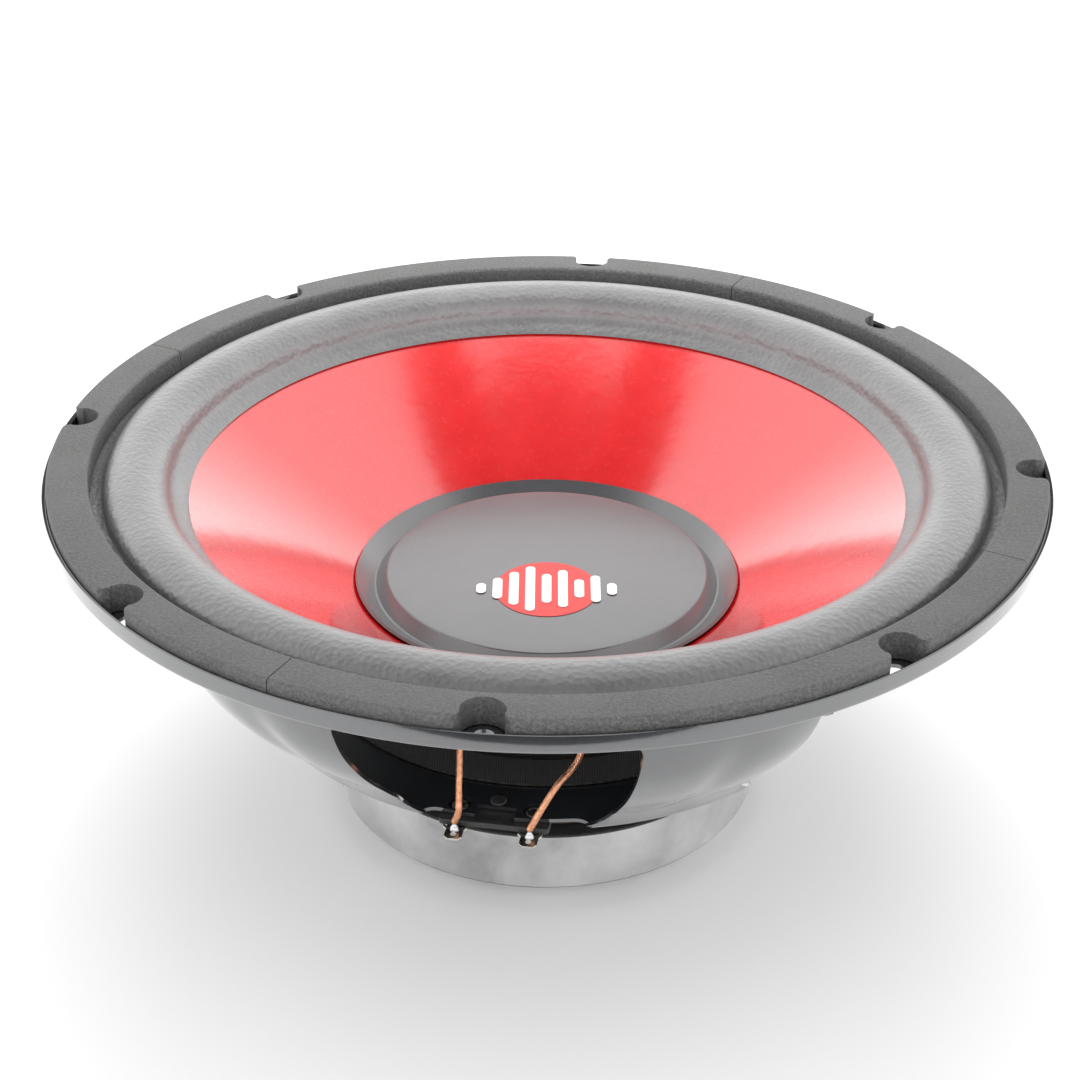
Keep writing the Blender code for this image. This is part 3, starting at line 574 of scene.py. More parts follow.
def gluePaint():
    paint = newPaint("setGlue", (0.012, 0.012, 0.012), 0.25)
    return plainPaint(paint, (260, 3), (0.008, 0.008, 0.008), (0.022, 0.021, 0.020), (0.3, 0.0005))


def printPaint(name, colour):  # printing ink on the cap
    paint = newPaint(name, colour, 0.32, Coat_Weight=0.3, Coat_Roughness=0.2)
    dim = tuple(c * 0.92 for c in colour)
    return plainPaint(paint, (900, 2), dim, colour, (0.05, 0.0001), ends=(0.35, 0.65))


def wear(piece, paint, body, slotName, *nodes):  # finish a piece: paint, body, CAD nodes; slotName is not used
    piece.data.materials.clear()
    piece.data.materials.append(paint)
    if nodes:
        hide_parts(*nodes)
    if body:
        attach(piece, body)


paints = {
    "gasket": gasketFoamPaint(),
    "edge": edgeFoamPaint(),
    "film": conePaint(),
    "pulp": conePulpPaint(),
    "cap": capPaint(),
    "basket": basketPaint(),
    "basketShade": basketShadePaint(),
    "ferrite": ferritePaint(),
    "steel": plateSteelPaint(),
    "zinc": zincPaint(),
    "tin": tinPaint(),
    "solder": tinPaint("solderBlob", (0.60, 0.60, 0.62)),
    "fibre": fibreAndShadePaint(),
    "braid": braidPaint(),
    "spider": spiderPaint(),
    "former": filmPaint(),
    "winding": windingPaint(),
    "glue": gluePaint(),
    "inkWhite": printPaint("inkWhite", (0.86, 0.86, 0.85)),
    "inkRed": printPaint("inkRed", (0.66, 0.045, 0.04)),
}
print("paints mixed:", len(paints))


# camera

camera = {
    "place": (0.0, -0.6110, 0.4386),
    "elevation": radians(26.97),
    "pan": radians(-0.18),
    "tilt": radians(-2.57),
    "roll": radians(0.35),
    "lens": 72.76,
}


def turnPair(a, b, angle):
    return cos(angle) * a + sin(angle) * b, cos(angle) * b - sin(angle) * a


def makeCamera():
    c = camera
    ahead = Vector((0, cos(c["elevation"]), -sin(c["elevation"])))
    right = Vector((1, 0, 0))
    up = right.cross(ahead)
    ahead, right = turnPair(ahead, right, c["pan"])
    ahead, up = turnPair(ahead, up, c["tilt"])
    right, up = turnPair(right, up, c["roll"])
    data = bpy.data.cameras.new("camera")
    data.lens = c["lens"]
    data.sensor_width = 36
    data.clip_start = 0.01
    data.clip_end = 50
    holder = bpy.data.objects.new("camera", data)
    bpy.context.scene.collection.objects.link(holder)
    turn = Matrix((right, up, -ahead)).transposed().to_4x4()
    holder.matrix_world = Matrix.Translation(c["place"]) @ turn
    bpy.context.scene.camera = holder


makeCamera()


# basket

basket = {
    "steps": 288,
    "rim": 0.1562,
    "flangeInner": 0.1372,
    "cup": 0.066,
    "hole": 0.031,
    "wall": [  # outer face of the bowl between the legs, flange to shelf
        (0.1366, 0.1097), (0.1330, 0.0997), (0.1280, 0.0897), (0.1210, 0.0797),
        (0.1140, 0.0712), (0.1070, 0.0637), (0.1015, 0.0577),
    ],
    "shelfOuter": 0.0972,
    "legBulge": 0.0034,
    "legChannel": 0.0016,
    "channelWidth": radians(2.6),
    "legSpread": 1.45,  # how far the swell runs past half a leg
    "wallInner": 0.09,
    "wallOuter": 0.15,
    "windowAt": radians(-97.2),
    "windowHalf": radians(18.4),
    "windowTop": 0.1057,
    "windowCorner": 0.0050,
    "windowFoot": 0.0095,
    "footRadius": 0.098,  # of the wall at the window's foot and top
    "topRadius": 0.134,
    "cutInner": 0.088,  # the window cutter's two ends
    "cutOuter": 0.165,
    "lipHalf": radians(15.2),
    "lip": 0.093,
    "lipOuter": 0.1035,
    "lipCorner": 0.0045,
    "screwAt": radians(-96.1),
    "screwCircle": 0.1495,
    "screwHole": 0.0028,
    "boardAt": radians(-99.3),
    "boardNotch": (0.088, 0.099, 0.006),  # inner, outer, half width
    "boardRivetHole": 0.0035,
    # how far out the painted shade behind the bowl reaches
    "shadeReach": 0.0925,
}


def bulgeLegs(piece):  # legs stand proud of the bowl, with a channel down the middle
    b = basket
    mesh = piece.data
    co = np.empty(len(mesh.vertices) * 3)
    mesh.vertices.foreach_get("co", co)
    co = co.reshape(-1, 3)
    r = np.hypot(co[:, 0], co[:, 1])
    down = (levels["flange"] - co[:, 2]) / (levels["flange"] - levels["shelf"])
    inside = (down > 0.0) & (down < 1.0) & (r > b["wallInner"]) & (r < b["wallOuter"])
    pitch = tau / 6
    off = np.arctan2(co[:, 1], co[:, 0]) - b["windowAt"] - pitch / 2
    off = (off + pitch / 2) % pitch - pitch / 2
    legHalf = pitch / 2 - b["windowHalf"]
    near = np.clip(1 - (np.abs(off) / (legHalf * b["legSpread"])) ** 2, 0, 1)
    swell = near**2 * (3 - 2 * near)
    share = np.clip(down, 0, 1)
    upDown = np.sin(pi * np.clip(share * 1.06 - 0.02, 0, 1)) ** 0.8
    groove = np.exp(-((off / b["channelWidth"]) ** 2)) * np.clip((share - 0.12) / 0.3, 0, 1)
    push = (b["legBulge"] * swell - b["legChannel"] * groove) * upDown
    push = np.where(inside, push, 0)
    scale = (r + push) / np.maximum(r, 1e-9)
    co[:, 0] *= scale
    co[:, 1] *= scale
    mesh.vertices.foreach_set("co", co.ravel())
    mesh.update()


def smoothWall():  # the bowl's wall as one curve through its chosen points
    return [(p.x, p.y, 0) for p in curveThrough(basket["wall"], 4)]


def windowCutter():  # a smooth D, cut square to the wall
    b = basket
    low = levels["shelf"] + 1.6 * sheet
    footHalf = b["windowHalf"] - b["windowFoot"] / b["footRadius"]
    edge = [
        (footHalf + (b["windowHalf"] - footHalf) * sin(t), low + b["windowFoot"] * (1 - cos(t)))
        for t in quarterTurn(8)
    ]
    topTurn = b["windowCorner"] / b["topRadius"]
    edge += [
        (b["windowHalf"] - topTurn * (1 - cos(t)), b["windowTop"] - b["windowCorner"] * (1 - sin(t)))
        for t in quarterTurn(6)
    ]
    outline = edge + [(-a, z) for a, z in reversed(edge)]
    cutters = []
    for azimuth in azimuthsOf(6, b["windowAt"]):
        cutter = startRing("window", len(outline))
        for vert, (a, z) in zip(cutter.data.vertices, outline):
            vert.co = polar(b["cutInner"], azimuth + a, z)
        editAll(cutter)
        bpy.ops.mesh.edge_face_add()
        bpy.ops.mesh.extrude_region()
        leaveEdit()
        moved = [v for v in cutter.data.vertices if v.select]
        for vert in moved:
            a = atan2(vert.co.y, vert.co.x)
            vert.co = polar(b["cutOuter"], a, vert.co.z)
        editAll(cutter)
        bpy.ops.mesh.normals_make_consistent(inside=False)
        leaveEdit()
        cutters.append(cutter)
    return joinPieces(cutters)


def lipCutter():  # trims the shelf back to its lip under each window
    b = basket
    half = b["lipHalf"]
    outer = b["lipOuter"]
    corner = b["lipCorner"]
    arc = half - corner / b["lip"]
    turn = [(b["lip"] + corner * (1 - cos(t)), arc + corner / b["lip"] * sin(t)) for t in quarterTurn(5)[1:]]
    line = [(b["lip"], arc * (k / 8 - 1)) for k in range(17)] + turn
    line += [(outer, half), (outer / cos(half), 0), (outer, -half)]
    line += [(r, -a) for r, a in reversed(turn)]
    outline = [(r * cos(a), r * sin(a)) for r, a in line]
    low, high = levels["shelf"] - sheet, levels["shelf"] + 1.8 * sheet
    return joinPieces(ringOfCutters("lip", outline, low, high, azimuthsOf(6, b["windowAt"])))


def roundCutters(spots, low, high, steps=32):  # (x, y, radius) holes
    cutters = []
    for x, y, r in spots:
        clearSelection()
        bpy.ops.mesh.primitive_cylinder_add(
            vertices=steps, radius=r, depth=high - low, location=(x, y, (low + high) / 2)
        )
        cutter = bpy.context.object
        applyPlace(cutter)
        cutters.append(cutter)
    return joinPieces(cutters)


def onBoard(across, out, z=0.0):
    return Matrix.Rotation(basket["boardAt"], 3, "Z") @ Vector((out, across, z))


def makeBasket():
    b = basket
    corners = [
        (b["rim"] - 0.0002, levels["rimTop"], 0),
        (b["rim"], levels["rimTop"] - 0.0002, 0),
        (b["rim"], levels["flange"], 0.0018),
        (b["flangeInner"], levels["flange"], 0.0022),
        *smoothWall(),
        (b["shelfOuter"], levels["shelf"], 0.0030),
        (b["cup"], levels["shelf"], 0.0022),
        (b["cup"], levels["cupFloor"], 0.0026),
        (b["hole"], levels["cupFloor"], 0),
    ]
    path = filletPath(corners, 6)
    piece = turnOutline("basketShell", wallOf(path, sheet), b["steps"], b["windowAt"])
    bulgeLegs(piece)
    cutWith(piece, windowCutter())
    cutWith(piece, lipCutter())
    screws = [(*polar(b["screwCircle"], a).xy, b["screwHole"]) for a in azimuthsOf(8, b["screwAt"])]
    cutWith(piece, roundCutters(screws, levels["flange"] - sheet, levels["flange"] + 2 * sheet))
    inner, outer, half = b["boardNotch"]
    notch = prismFrom(
        "notch", [(inner, -half), (outer, -half), (outer, half), (inner, half)],
        levels["shelf"] - sheet, levels["shelf"] + 2 * sheet,
    )
    turnPiece(notch, b["boardAt"])
    cutWith(piece, notch)
    rivets = []
    for side in (-1, 1):
        spot = onBoard(side * terminals["pitch"] / 2, terminals["rivetOut"])
        rivets.append((spot.x, spot.y, b["boardRivetHole"]))
    cutWith(piece, roundCutters(rivets, levels["shelf"] - sheet, levels["shelf"] + 2 * sheet))
    smoothPiece(piece, 32)
    wear(piece, paints["basket"], base, "basket_black", "basket")
    piece.data.materials.append(paints["basketShade"])
    for face in piece.data.polygons:  # painted shade on the cup's outside, and the shelf's back close to it
        r = hypot(face.center.x, face.center.y)
        if r < b["shadeReach"] and face.center.z < levels["shelf"] + 0.0002:
            face.material_index = 1


terminals = {
    "pitch": 0.0224,
    "overhang": 0.0018,
    "boardDepth": 0.0120,
    "boardLength": 0.0330,
    "boardThick": 0.0019,
    "rivetOut": basket["lip"] - 0.0048,
    "rivet": 0.0012,
    "tabWidth": 0.0054,
    "tabThick": 0.0008,
    "tabReach": 0.0078,
    "ear": 0.0014,
    "solder": 0.0015,
}
boardEdge = basket["lip"] + terminals["overhang"]
boardRivetOut = boardEdge - terminals["boardDepth"] + 2.5 * terminals["rivet"]

makeBasket()
print("basket pressed")


# gasket: four foam segments

gasket = {
    "inner": 0.142,
    "outer": 0.1547,
    "step": 0.1446,
    "round": 0.0011,
    "jointAt": radians(62),
    "stepsEach": 90,
    "notchHalf": 0.0062,
    "notchDeep": 0.1448,
    "notchFlare": 0.0032,
    "notchEnd": 0.162,  # past the rim
    "notchNeck": 0.94,
    "slit": (0.135, 0.160),
    "screwAt": basket["screwAt"],
}


def notchOutline():  # round end, a slight neck, then flared corners at the rim
    g = gasket
    half = g["notchHalf"]
    centre = g["notchDeep"] + half
    line = []
    for k in range(13):
        a = pi / 2 + pi * k / 12
        line.append((centre + half * cos(a), half * sin(a)))
    neckX = g["outer"] - g["notchFlare"]
    neckY = -half * g["notchNeck"]
    lower = [(neckX, neckY)]
    for k in range(1, 6):
        t = pi / 2 * k / 5
        lower.append((neckX + g["notchFlare"] * sin(t), neckY - g["notchFlare"] * (1 - cos(t))))
    lower.append((g["notchEnd"], lower[-1][1]))
    upper = [(x, -y) for x, y in reversed(lower)]
    return line + lower + upper


def makeGasket():
    g = gasket
    low = levels["edgeTop"] - 0.0013
    corners = [
        (g["inner"], levels["gasketFoot"], 0),
        (g["inner"], levels["gasketTop"], g["round"]),
        (g["outer"], levels["gasketTop"], g["round"]),
        (g["outer"], low, 0.0012),
        (g["step"], low, 0),
        (g["step"], levels["gasketFoot"], 0),
    ]
    ring = turnOutline("gasketFoam", filletPath(corners, 4), g["stepsEach"] * 4, g["jointAt"])
    outline = notchOutline()
    high = levels["gasketTop"] + 0.002
    half = gap / 2
    inner, outer = g["slit"]
    slit = [(inner, -half), (outer, -half), (outer, half), (inner, half)]
    cutters = ringOfCutters("notch", outline, low - 0.002, high, azimuthsOf(8, g["screwAt"]))
    cutters += ringOfCutters("slit", slit, low - 0.002, high, azimuthsOf(4, g["jointAt"]))
    cutWith(ring, joinPieces(cutters))
    editAll(ring)
    bpy.ops.mesh.separate(type="LOOSE")
    leaveEdit()
    for piece in list(bpy.context.selected_objects):
        box = np.array([v.co for v in piece.data.vertices])
        middle = box.mean(axis=0)
        turnOf = (atan2(middle[1], middle[0]) - g["jointAt"]) % tau
        i = int(turnOf // (tau / 4)) + 1
        piece.name = f"gasketFoam_{i}"
        piece.data.name = piece.name
        smoothPiece(piece, 40)
        wear(piece, paints["gasket"], base, "gasket_foam", f"gasket_segment_{i}")


makeGasket()
print("gasket cut")


# cone, edge and cap

cone = {
    "rim": 0.1186,
    "rimTop": 0.1175,
    "slope": 0.655,
    "thick": 0.0010,
    "neck": 0.02629,
    "steps": 256,
}


def coneTop(r):
    return cone["rimTop"] - cone["slope"] * (cone["rim"] - r)


def makeCone():
    c = cone
    drop = c["thick"] * hypot(1, c["slope"])
    count = 22
    radii = [c["neck"] + (c["rim"] - c["neck"]) * k / count for k in range(count + 1)]
    front = [(r, coneTop(r)) for r in radii]
    outline = front + [(r, z - drop) for r, z in reversed(front)]
    piece = turnOutline("paperCone", outline, c["steps"])
    smoothPiece(piece, 40)
    wear(piece, paints["film"], moving, "red_cone", "cone")
    piece.data.materials.append(paints["pulp"])
    for face in piece.data.polygons:  # the film is on the front only
        if face.normal.z < 0.3:
            face.material_index = 1


edge = {
    "bond": 0.1443,
    "outerFoot": 0.1382,
    "innerFoot": 0.1180,
    "inner": 0.1121,
    "height": 0.0067,
    "thick": 0.0013,
    "skirt": 0.0009,
    "bend": (0.1185, 0.1380),  # radii handed to radialBlend, which does not use them
    "steps": 288,
}


def skirtTop(r):
    return coneTop(r) + gap + edge["skirt"]


def edgePath():  # front face, from the skirt on the cone out to the bonded flat
    e = edge
    middle = (e["outerFoot"] + e["innerFoot"]) / 2
    half = (e["outerFoot"] - e["innerFoot"]) / 2
    crown = levels["edgeTop"] + e["height"]
    path = [(e["inner"] + 0.00025, skirtTop(e["inner"]) - 0.0001)]
    path += [(r, skirtTop(r)) for r in np.linspace(e["inner"] + 0.0006, e["innerFoot"] - 0.0016, 5)]
    count = 30
    for k in range(count + 1):
        a = pi * k / count
        foot = skirtTop(e["innerFoot"]) + 0.0002 if k < count / 2 else levels["edgeTop"]
        x = middle - half * cos(a)
        z = foot + (crown - foot) * sin(a) ** 0.86
        path.append((x, z))
    path += [(e["outerFoot"] + 0.0012, levels["edgeTop"] - 0.0002), (e["bond"], levels["edgeTop"] - 0.0002)]
    return path


def softenPath(path, passes=2):  # rounds the creases at the feet of the roll
    points = [Vector(p) for p in path]
    for _ in range(passes):
        points = [
            p if i in (0, len(points) - 1) else p * 0.6 + (points[i - 1] + points[i + 1]) * 0.2
            for i, p in enumerate(points)
        ]
    return [tuple(p) for p in points]


def radialBlend(piece, inner, outer):  # bakes the piece's place into its mesh; inner and outer are not used
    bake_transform(piece)


def makeEdge():
    e = edge
    path = softenPath(edgePath())
    back = shiftPath(path, e["thick"])
    seat = levels["edgeTop"] - e["thick"] - 0.0002
    for i, (r, z) in enumerate(back):  # kept off the cone and the flange
        if r < e["innerFoot"] - 0.0005:
            back[i] = (r, max(z, coneTop(r) + gap))
        elif r > e["outerFoot"]:
            back[i] = (r, max(z, seat))
    piece = turnOutline("foamEdge", path + back[::-1], e["steps"])
    smoothPiece(piece, 45)
    wear(piece, paints["edge"], None, "edge_foam", "edge_surround")
    radialBlend(piece, *e["bend"])


cap = {
    "lip": 0.0612,
    "foot": 0.0553,
    "plateau": 0.0517,
    "thick": 0.0010,
    "wall": 0.0047,
    "crown": 0.0008,
    "lift": 0.0006,
    "steps": 192,
}


def capFoot():
    return coneTop(cap["foot"]) + gap + cap["thick"] * 1.2


def capTop(r):  # the plateau's height
    share = 1 - (r / cap["plateau"]) ** 2
    return capFoot() + cap["wall"] + cap["crown"] * share


def makeCap():
    c = cap
    foot = capFoot()
    lipZ = foot + (c["lip"] - c["foot"]) * cone["slope"] + c["lift"]
    corners = [
        (c["lip"], lipZ, 0),
        (c["foot"], foot, 0.0008),
        (c["plateau"], foot + c["wall"], 0.0010),
        *[(c["plateau"] * k / 12, capTop(c["plateau"] * k / 12), 0) for k in range(11, 0, -1)],
        (0, capTop(0), 0),
    ]
    path = filletPath(corners, 6)
    back = shiftPath(path, -c["thick"])
    back[-1] = (0, back[-1][1])
    piece = turnOutline("dustCap", path + back[::-1], c["steps"])
    smoothPiece(piece, 30)
    wear(piece, paints["cap"], moving, "cap_grey", "dust_cap")


emblem = {
    "centre": (0.0, -0.0150),
    "disc": 0.0165,
    "rise": 0.00016,
    "thick": 0.00010,
    "bars": [0.0060, 0.0125, 0.0200, 0.0270, 0.0175, 0.0225, 0.0110, 0.0160, 0.0070],
    "barWidth": 0.0031,
    "barPitch": 0.0052,
}


def layOnCap(piece, lift):  # follows the crown of the cap
    for vert in piece.data.vertices:
        vert.co.z += capTop(hypot(vert.co.x, vert.co.y)) + lift
    piece.data.update()


def makeEmblem():  # a plain round and a row of level bars, as on a meter
    e = emblem
    x0, y0 = e["centre"]
    ring = startRing("capRound", 72)
    for k, vert in enumerate(ring.data.vertices):
        vert.co = (x0 + e["disc"] * cos(tau * k / 72), y0 + e["disc"] * sin(tau * k / 72), 0)
    editAll(ring)
    bpy.ops.mesh.edge_face_add()
    for _ in range(4):
        bpy.ops.mesh.inset(thickness=e["disc"] / 5)
    bpy.ops.mesh.select_all(action="SELECT")
    bpy.ops.mesh.extrude_region_move(TRANSFORM_OT_translate={"value": (0, 0, e["thick"])})
    closeEdit()
    layOnCap(ring, e["rise"] * 0.5)
    wear(ring, paints["inkRed"], moving, "red_cone")
    count = len(e["bars"])
    bars = []
    for i, height in enumerate(e["bars"]):
        x = x0 + (i - (count - 1) / 2) * e["barPitch"]
        half = e["barWidth"] / 2
        line = []
        for side in (1, -1):
            for k in range(9):
                a = pi * k / 8 if side > 0 else pi + pi * k / 8
                line.append((x + half * cos(a), y0 + side * (height / 2 - half) + half * sin(a)))
        bar = prismFrom(f"levelBar_{i + 1}", line, 0, e["thick"])
        bars.append(bar)
    piece = joinPieces(bars)
    piece.name = "levelBars"
    layOnCap(piece, e["rise"] * 1.6)
    wear(piece, paints["inkWhite"], moving, "cap_grey")


makeCone()
makeEdge()
makeCap()
makeEmblem()
print("cone, edge and cap done")


# spider and coil

spider = {
    "collar": 0.02629,
    "outer": 0.077,
    "flat": 0.0128,
    "waves": 4,
    "height": 0.0022,
    "thick": 0.0006,
    "collarUp": 0.0032,
    "bend": (0.030, 0.064),
    "steps": 160,
}


def makeSpider():
    s = spider
    level = levels["shelf"] + sheet + gap + s["thick"]
    first = s["collar"] + 0.0030
    last = s["outer"] - s["flat"]
    path = [
        (s["collar"] + s["thick"], level + s["collarUp"]),
        (s["collar"] + s["thick"] + 0.0002, level + s["thick"] + 0.0004),
        (first - 0.0006, level + 0.0003),
    ]
    count = 64
    for k in range(count + 1):
        share = k / count
        r = first + (last - first) * share
        path.append((r, level + s["height"] * sin(tau * s["waves"] * share)))
    path += [(last + 0.0010, level), (s["outer"], level)]
    back = shiftPath(path, s["thick"])
    piece = turnOutline("spiderCloth", path + back[::-1], s["steps"])
    smoothPiece(piece, 45)
    wear(piece, paints["spider"], None, "spider_cloth", "spider")
    radialBlend(piece, *s["bend"])


def makeCoil():
    rows = [  # name, inner and outer radius, foot, top, paint, slot, node
        ("coilFormer", 0.0254, 0.0259, 0.0172, 0.0586, "former", "former_film", "voice_coil_former"),
        ("coilWinding", 0.0262, 0.0274, 0.0177, 0.0417, "winding", "winding_copper", "voice_coil_winding"),
    ]
    for name, inner, outer, low, high, paint, slotName, node in rows:
        soft = 0.0001
        corners = [(inner, low, 0), (outer, low, soft), (outer, high, soft), (inner, high, 0)]
        piece = turnOutline(name, filletPath(corners, 2), 128)
        smoothPiece(piece, 40)
        wear(piece, paints[paint], moving, slotName, node)
    inner, outer, lift = 0.0262, 0.0292, 0.00045
    bead = [(inner, coneTop(inner) + lift), (outer, coneTop(outer) + lift)]
    for k in range(1, 8):  # a hollow fillet, as glue runs
        t = pi / 2 * k / 8
        bead.append((outer - (outer - inner) * sin(t), coneTop(outer) + 0.0005 + 0.0014 * (1 - cos(t))))
    bead.append((inner, coneTop(inner) + 0.0034))
    piece = turnOutline("neckGlue", bead, 128)
    smoothPiece(piece, 40)
    wear(piece, paints["glue"], moving, "adhesive", "neck_adhesive")


makeSpider()
makeCoil()
print("spider and coil done")


# motor

motor = {
    "plate": 0.060,
    "plateThick": 0.0060,
    "pole": 0.0246,
    "vent": 0.0090,
    "flare": 0.0030,
    "magnet": 0.070,
    "magnetHole": 0.037,
    "magnetThick": 0.0206,
    "chamfer": 0.0012,
    "topPlate": 0.0645,
    "topThick": 0.0050,
    "topHole": 0.0283,
    "rivetCircle": 0.048,
    "rivetHole": 0.0022,
    "rivetShank": 0.0019,
    "steps": 192,
}


def makeMotor():
    m = motor
    top = levels["topPlate"] + m["topThick"]
    low = levels["magnet"]
    high = low + m["magnetThick"]
    outline = filletPath(
        [
            (m["magnetHole"], low, 0.0006),
            (m["magnet"], low, m["chamfer"]),
            (m["magnet"], high, m["chamfer"]),
            (m["magnetHole"], high, 0.0006),
            (m["magnetHole"], (low + high) / 2, 0),
        ],
        4,
    )
    piece = turnOutline("magnetRing", outline, m["steps"])
    smoothPiece(piece, 50)
    wear(piece, paints["ferrite"], base, "ferrite", "magnet")
    piece.data.materials.append(paints["fibre"])
    for face in piece.data.polygons:  # painted shade: the flat top, which lies in shade under the basket, and the sharp lower edge, for the shadow at its foot
        edge = face.center.z < low + m["chamfer"] * 0.7 and face.normal.z > -0.98
        if edge or face.normal.z > 0.5:
            face.material_index = 1

    outline = filletPath(
        [
            (m["topHole"], levels["topPlate"], 0.0003),
            (m["topPlate"], levels["topPlate"], 0.0005),
            (m["topPlate"], top, 0.0007),
            (m["topHole"], top, 0.0003),
            (m["topHole"], top - 0.002, 0),
        ],
        4,
    )
    piece = turnOutline("frontPlate", outline, m["steps"])
    spots = [(*polar(m["rivetCircle"], a).xy, m["rivetHole"]) for a in azimuthsOf(4, radians(45))]
    cutWith(piece, roundCutters(spots, levels["topPlate"] + m["topThick"] / 2, top + 0.001, 24))
    smoothPiece(piece, 50)
    wear(piece, paints["steel"], base, "plate_steel", "top_plate")

    inner = m["vent"] + m["flare"]
    outline = filletPath(
        [
            (inner, 0, 0.0006),
            (m["plate"], 0, 0.0016),
            (m["plate"], m["plateThick"], 0.0005),
            (m["pole"], m["plateThick"], 0.0006),
            (m["pole"], top, 0.0008),
            (inner, top, 0.0008),
            (m["vent"], top - m["flare"], 0.001),
            (m["vent"], m["flare"] / 2, 0.001),
        ],
        4,
    )
    piece = turnOutline("backPlate", outline, m["steps"])
    smoothPiece(piece, 40)
    wear(piece, paints["zinc"], base, "plate_steel", "back_plate")


vent = {"radius": 0.0085, "z": 0.0030, "thick": 0.0012, "cell": 0.0021, "hole": 0.00078}


def makeVentScreen():  # a round of black mesh across the vent
    v = vent
    spots = []
    for i in range(-4, 5):
        for j in range(-4, 5):
            x = (i + 0.5 * (j % 2)) * v["cell"]
            y = j * v["cell"] * 0.866
            if hypot(x, y) < v["radius"] - 0.0013:
                spots.append((x, y, v["hole"]))
    clearSelection()
    middle = (0, 0, v["z"] + v["thick"] / 2)
    bpy.ops.mesh.primitive_cylinder_add(vertices=64, radius=v["radius"], depth=v["thick"], location=middle)
    piece = bpy.context.object
    piece.name = "ventMesh"
    piece.data.name = "ventMesh"
    applyPlace(piece)
    cutWith(piece, roundCutters(spots, v["z"] - 0.001, v["z"] + v["thick"] + 0.001, 8))
    smoothPiece(piece, 40)
    wear(piece, paints["fibre"], base, "screen_black", "vent_screen")


def rivetOutline(low, high, shank, head, thick):  # from the foot of the lower head to the upper
    corners = [
        (0, low - thick, 0), (head, low - thick, thick * 0.6), (head, low, 0), (shank, low, 0),
        (shank, high, 0), (head, high, 0), (head, high + thick, thick * 0.6), (0, high + thick, 0),
    ]
    return filletPath(corners, 3)


def makeMotorRivets():
    seat = levels["cupFloor"] + sheet + gap
    foot = levels["topPlate"] + motor["topThick"] / 2 + gap
    shank = motor["rivetShank"]
    dome = [(shank * 2 * cos(t), seat + 0.00015 + 0.0013 * sin(t)) for t in quarterTurn(6)]
    outline = [(0, foot), (shank, foot), (shank, seat), (shank * 2, seat), *dome[:-1], (0, dome[-1][1])]
    first = turnOutline("motorRivet_1", outline, 40)
    for i, a in enumerate(azimuthsOf(4, radians(45))):
        piece = first if i == 3 else copyPiece(first, f"motorRivet_{i + 2}")
        piece.location = polar(motor["rivetCircle"], a)
        applyPlace(piece)
        smoothPiece(piece, 40)
        node = 4 if i == 3 else i + 1
        piece.name = f"motorRivet_{node}_head"
        wear(piece, paints["zinc"], base, "plate_steel", f"motor_rivet_{node}")


makeMotor()
makeVentScreen()
makeMotorRivets()
print("motor done")


# terminals and leads


boardFoot = levels["shelf"] - gap - terminals["boardThick"]
tabFoot = boardFoot - gap - terminals["tabThick"]


def makeBoard():
    t = terminals
    outer = boardEdge
    inner = outer - t["boardDepth"]
    half = t["boardLength"] / 2
    corner = 0.0012
    line = []
    for x, y, first in ((outer, half, 0), (inner, half, 1), (inner, -half, 2), (outer, -half, 3)):
        cx = x - corner if x == outer else x + corner
        cy = y - corner if y > 0 else y + corner
        for k in range(5):
            a = pi / 2 * (first + k / 4)
            line.append((cx + corner * cos(a), cy + corner * sin(a)))
    piece = prismFrom("terminalBoard", line, boardFoot, boardFoot + t["boardThick"])
    spots = [(t["rivetOut"], s * t["pitch"] / 2, t["rivet"] + gap) for s in (-1, 1)]
    spots.append((boardRivetOut, 0, t["rivet"] + gap))
    cutWith(piece, roundCutters(spots, boardFoot - 0.001, boardFoot + 0.004, 20))
    bevelEdges(piece, 0.00015, 2, 60)
    turnPiece(piece, basket["boardAt"])
    smoothPiece(piece, 35)
    wear(piece, paints["fibre"], base, "fibre_board", "terminal_board")


def makeTab(name, side, node):  # a push-on blade with crimp ears and a hole in its tip
    t = terminals
    half = t["tabWidth"] / 2
    inner = t["rivetOut"] - t["tabWidth"] * 0.7
    tip = basket["lip"] + t["tabReach"]
    earIn = boardEdge + gap
    earOut = earIn + t["ear"]
    chamfer = t["tabWidth"] * 0.2
    line = [
        (inner + 0.0008, -half), (earIn, -half), (earIn, -half - t["ear"]), (earOut, -half - t["ear"]),
        (earOut, -half), (tip - chamfer, -half), (tip, -half + chamfer),
    ]
    line = [(inner, -half + 0.0008), *line]
    line += [(x, -y) for x, y in reversed(line)]
    piece = prismFrom(name, line, tabFoot, tabFoot + t["tabThick"])
    spots = [(tip - 0.00225, 0, 0.0009), (t["rivetOut"], 0, t["rivet"] + gap)]
    cutWith(piece, roundCutters(spots, tabFoot - 0.001, tabFoot + 0.002, 24))
    bevelEdges(piece, 0.00012, 2, 50)
    piece.location = (0, side * t["pitch"] / 2, 0)
    applyPlace(piece)
    for vert in piece.data.vertices:  # the ears curl up round the lead
        y = vert.co.y - side * t["pitch"] / 2
        out = abs(y) - half
        if out > 0.0001:
            vert.co.z += min(out, t["ear"]) * 0.75
            vert.co.y -= (out * 0.35) * (1 if y > 0 else -1)
    turnPiece(piece, basket["boardAt"])
    smoothPiece(piece, 35)
    wear(piece, paints["tin"], base, "tinned_metal", node)


def makeSmallRivet(name, across, out, low, high, node, paint="tin"):
    r = terminals["rivet"]
    piece = turnOutline(name, rivetOutline(low, high, r, r * 2, 0.0007), 32)
    piece.location = onBoard(across, out)
    applyPlace(piece)
    smoothPiece(piece, 40)
    wear(piece, paints[paint], base, "tinned_metal", node)


